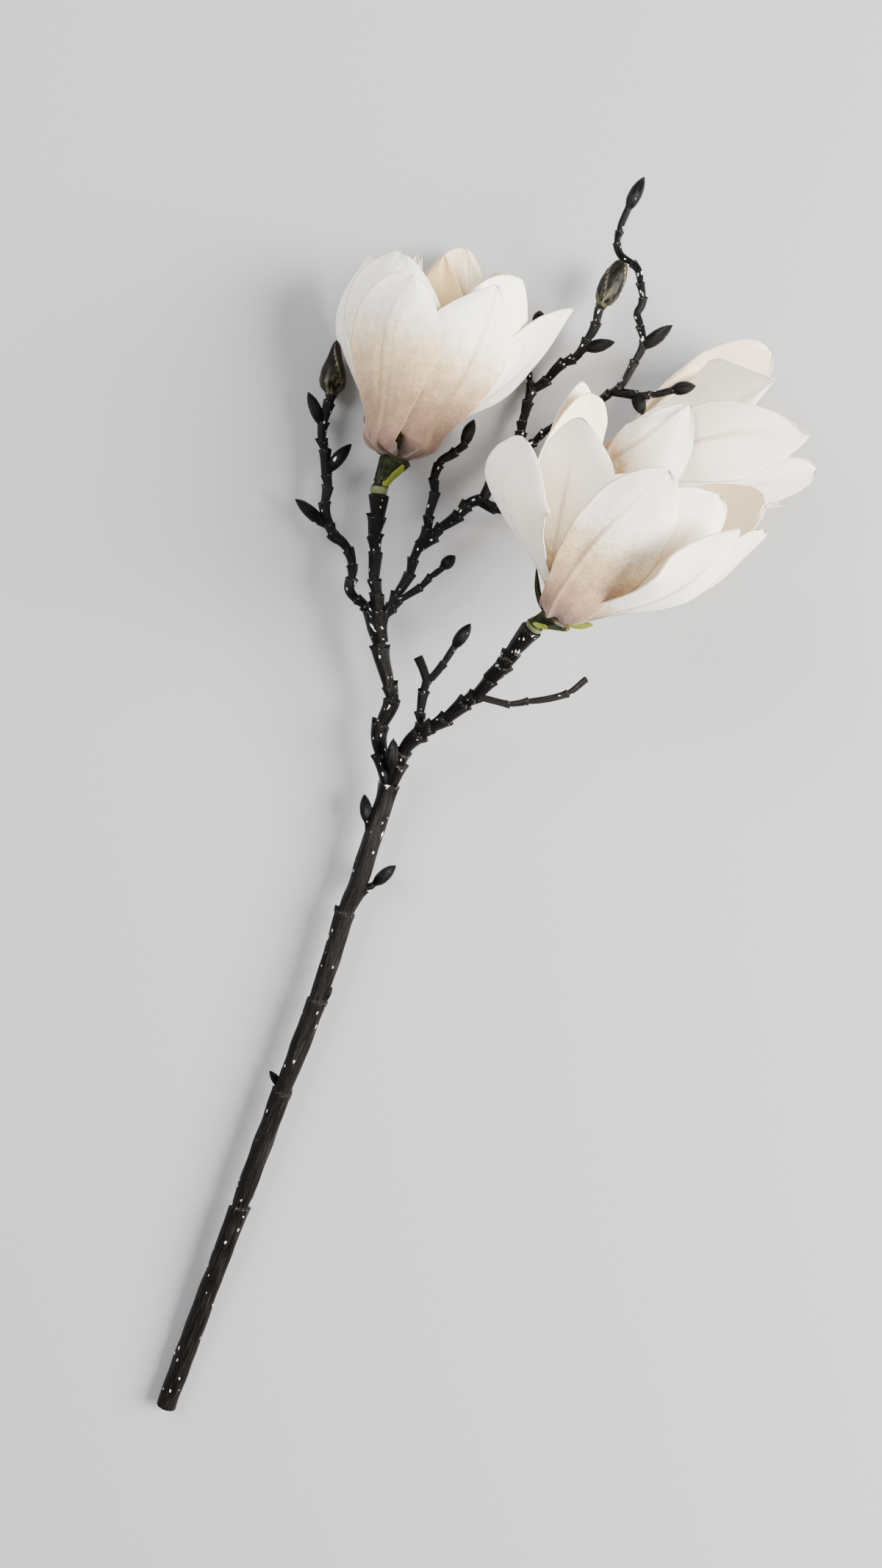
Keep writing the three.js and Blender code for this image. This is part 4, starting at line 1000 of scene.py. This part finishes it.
def buildHeart(name):
    bloom = blooms[name]
    turned = bloomFrame(bloom)
    foot = np.array(bloom["foot"], float)
    heap = MeshHeap()
    shape = heartShape
    angles = anglesOf(30)
    t = np.linspace(0, 1, 40)[:, None]
    up = shape["coneFoot"] + shape["coneHeight"] * t
    bumps = np.cos(5 * angles + 11 * t) * np.cos(2 * math.pi * 7 * t)
    total = np.interp(t, shape["coneAlong"], shape["coneRadius"]) * (1 + 0.13 * bumps)
    rings = stacked(total, total * np.cos(angles), -total * np.sin(angles), up)
    addTube(heap, foot + rings @ turned, stacked(total, angles * 3, up),
            stacked(total, 0.4 + 0.5 * t, 0, 0, 1))
    random = np.random.default_rng(bloom["seed"])
    corner = anglesOf(8)
    t = np.linspace(0, 1, 14)[:, None]
    size = np.interp(t, shape["stamenAlong"], shape["stamenRadius"]) + 0 * corner
    for ringNumber, (count, out, height) in enumerate(shape["stamens"]):
        for number in range(count):
            turn = 360 * (number + 0.5 * ringNumber) / count + random.uniform(-6, 6)
            tall = height + random.uniform(-0.8, 0.8)
            route = [around(turn, 2.0, 2.2), around(turn, out * 0.82, 5),
                     around(turn + random.uniform(-9, 9), out, tall)]
            line, length = smoothRoute(foot + np.array(route) @ turned, len(t))
            wide = unit(np.cross(tangentsOf(line), turned[2] + 0.01))
            thin = np.cross(tangentsOf(line), wide)
            addTube(heap, ringsAround(line, wide, thin, size * np.cos(corner), 0.55 * size * np.sin(corner)),
                    stacked(size, corner + number, t * length), stacked(size, t, 0, 0, 1))
    heap.makePiece(name + "Heart", heartYellow, bloom["node"] + "_heart")


for name, socketName in (("bloom1", "firstSocket"), ("bloom2", "secondSocket"), ("bloom3", "thirdSocket")):
    buildReceptacle(name, socketName)
    buildHeart(name)
print("receptacles and hearts made")


flowerBuds = {
    "flowerBudLeft": dict(node="flower_bud_left", foot=(-56.8, 165.4, 8.8), tip=(-54.8, 188.8, 5.4),
                          radius=5.2, belly=0.27),
    "flowerBudTop": dict(node="flower_bud_top", foot=(49.9, 199.4, 14.1), tip=(59.8, 219.3, 14.1),
                         radius=4.8, belly=0.45),
}


def buildFlowerBud(name, seed):
    facts = flowerBuds[name]
    foot, tip = np.array(facts["foot"], float), np.array(facts["tip"], float)
    line, length = smoothRoute([foot, (foot + tip) / 2, tip], 70)
    belly = facts["belly"]
    t = np.linspace(0, 1, len(line))[:, None]
    share = softened(np.interp(
        t[:, 0], [0, 0.03, 0.075, 0.12, belly * 0.62, belly, belly + 0.2, belly + 0.38, 0.93, 0.985, 1],
        [0.44, 0.47, 0.50, 0.74, 0.94, 1, 0.9, 0.62, 0.27, 0.12, 0.03]))
    angles = anglesOf(40)
    edge = lapped = 0
    for start, twist in ((0.5, 1.6), (2.7, 1.3), (4.8, 1.9)):
        fold = (angles + start + seed + twist * t) % (2 * math.pi)
        lapped = lapped + 0.055 * np.exp(-fold / 0.8)
        edge = np.maximum(edge, np.exp(-(fold / 0.16) ** 2))
    total = facts["radius"] * share[:, None] * (1 + lapped * np.minimum(1, t * 6))
    heap = MeshHeap()
    addTube(heap, ringsAround(line, *ringFrames(line), total * np.cos(angles), total * np.sin(angles)),
            stacked(total, angles * facts["radius"] + seed * 50, t * length), stacked(total, t, edge, 0, 1))
    heap.makePiece(name, oliveBud, facts["node"])


for seed, name in enumerate(flowerBuds):
    buildFlowerBud(name, seed)
print("flower buds made")


# ---- floor, light and camera

studio = {
    "floorColor": (0.33, 0.33, 0.334),
    "floorSize": 6.0,
    "keyPlace": (1.35, -0.1, 0.95),
    "keySize": 1.0,
    "keyPower": 166.0,
    "keyColor": (1.0, 0.97, 0.93),
    "fillPlace": (-0.9, 0.75, 1.2),
    "fillSize": 0.9,
    "fillPower": 33.0,
    "fillColor": (0.97, 0.98, 1.0),
    "lightAim": (0.02, 0.08, 0.03),
    "skyLight": 0.66,
    "skyColor": (0.97, 0.975, 1.0),
    "cameraPlace": (-0.013, 0.011, 0.609),
    "focalLength": 34.577,
}


def buildStudio():
    link = bpy.context.scene.collection.objects.link
    size = studio["floorSize"] / 2
    mesh = bpy.data.meshes.new("floor")
    corners = [(-size, -size, 0), (size, -size, 0), (size, size, 0), (-size, size, 0)]
    mesh.from_pydata(corners, [], [(0, 1, 2, 3)])
    floor = bpy.data.objects.new("floor", mesh)
    link(floor)
    pale = Finish("paleFloor")
    for key, value in (("Base Color", studio["floorColor"]), ("Roughness", 0.9), ("Specular IOR Level", 0.1)):
        pale.join(value, pale.shader.inputs[key])
    floor.data.materials.append(pale.material)
    for name in ("key", "fill"):
        light = bpy.data.lights.new(name + "Light", "AREA")
        light.size = studio[name + "Size"]
        light.energy = studio[name + "Power"]
        light.color = studio[name + "Color"]
        lamp = bpy.data.objects.new(name + "Light", light)
        lamp.location = studio[name + "Place"]
        aim = Vector(studio["lightAim"]) - lamp.location
        lamp.rotation_euler = aim.to_track_quat("-Z", "Y").to_euler()
        link(lamp)
    world = bpy.data.worlds.new("studioSky")
    world.use_nodes = True
    sky = world.node_tree.nodes["Background"].inputs
    sky[0].default_value = (*studio["skyColor"], 1)
    sky[1].default_value = studio["skyLight"]
    bpy.context.scene.world = world
    camera = bpy.data.objects.new("camera", bpy.data.cameras.new("camera"))
    camera.location = studio["cameraPlace"]
    camera.rotation_euler = (0, 0, 0)
    camera.data.lens = studio["focalLength"]
    camera.data.sensor_width = 36
    camera.data.clip_start = 0.01
    link(camera)
    bpy.context.scene.camera = camera


buildStudio()
print("studio made")

bpy.context.view_layer.update()
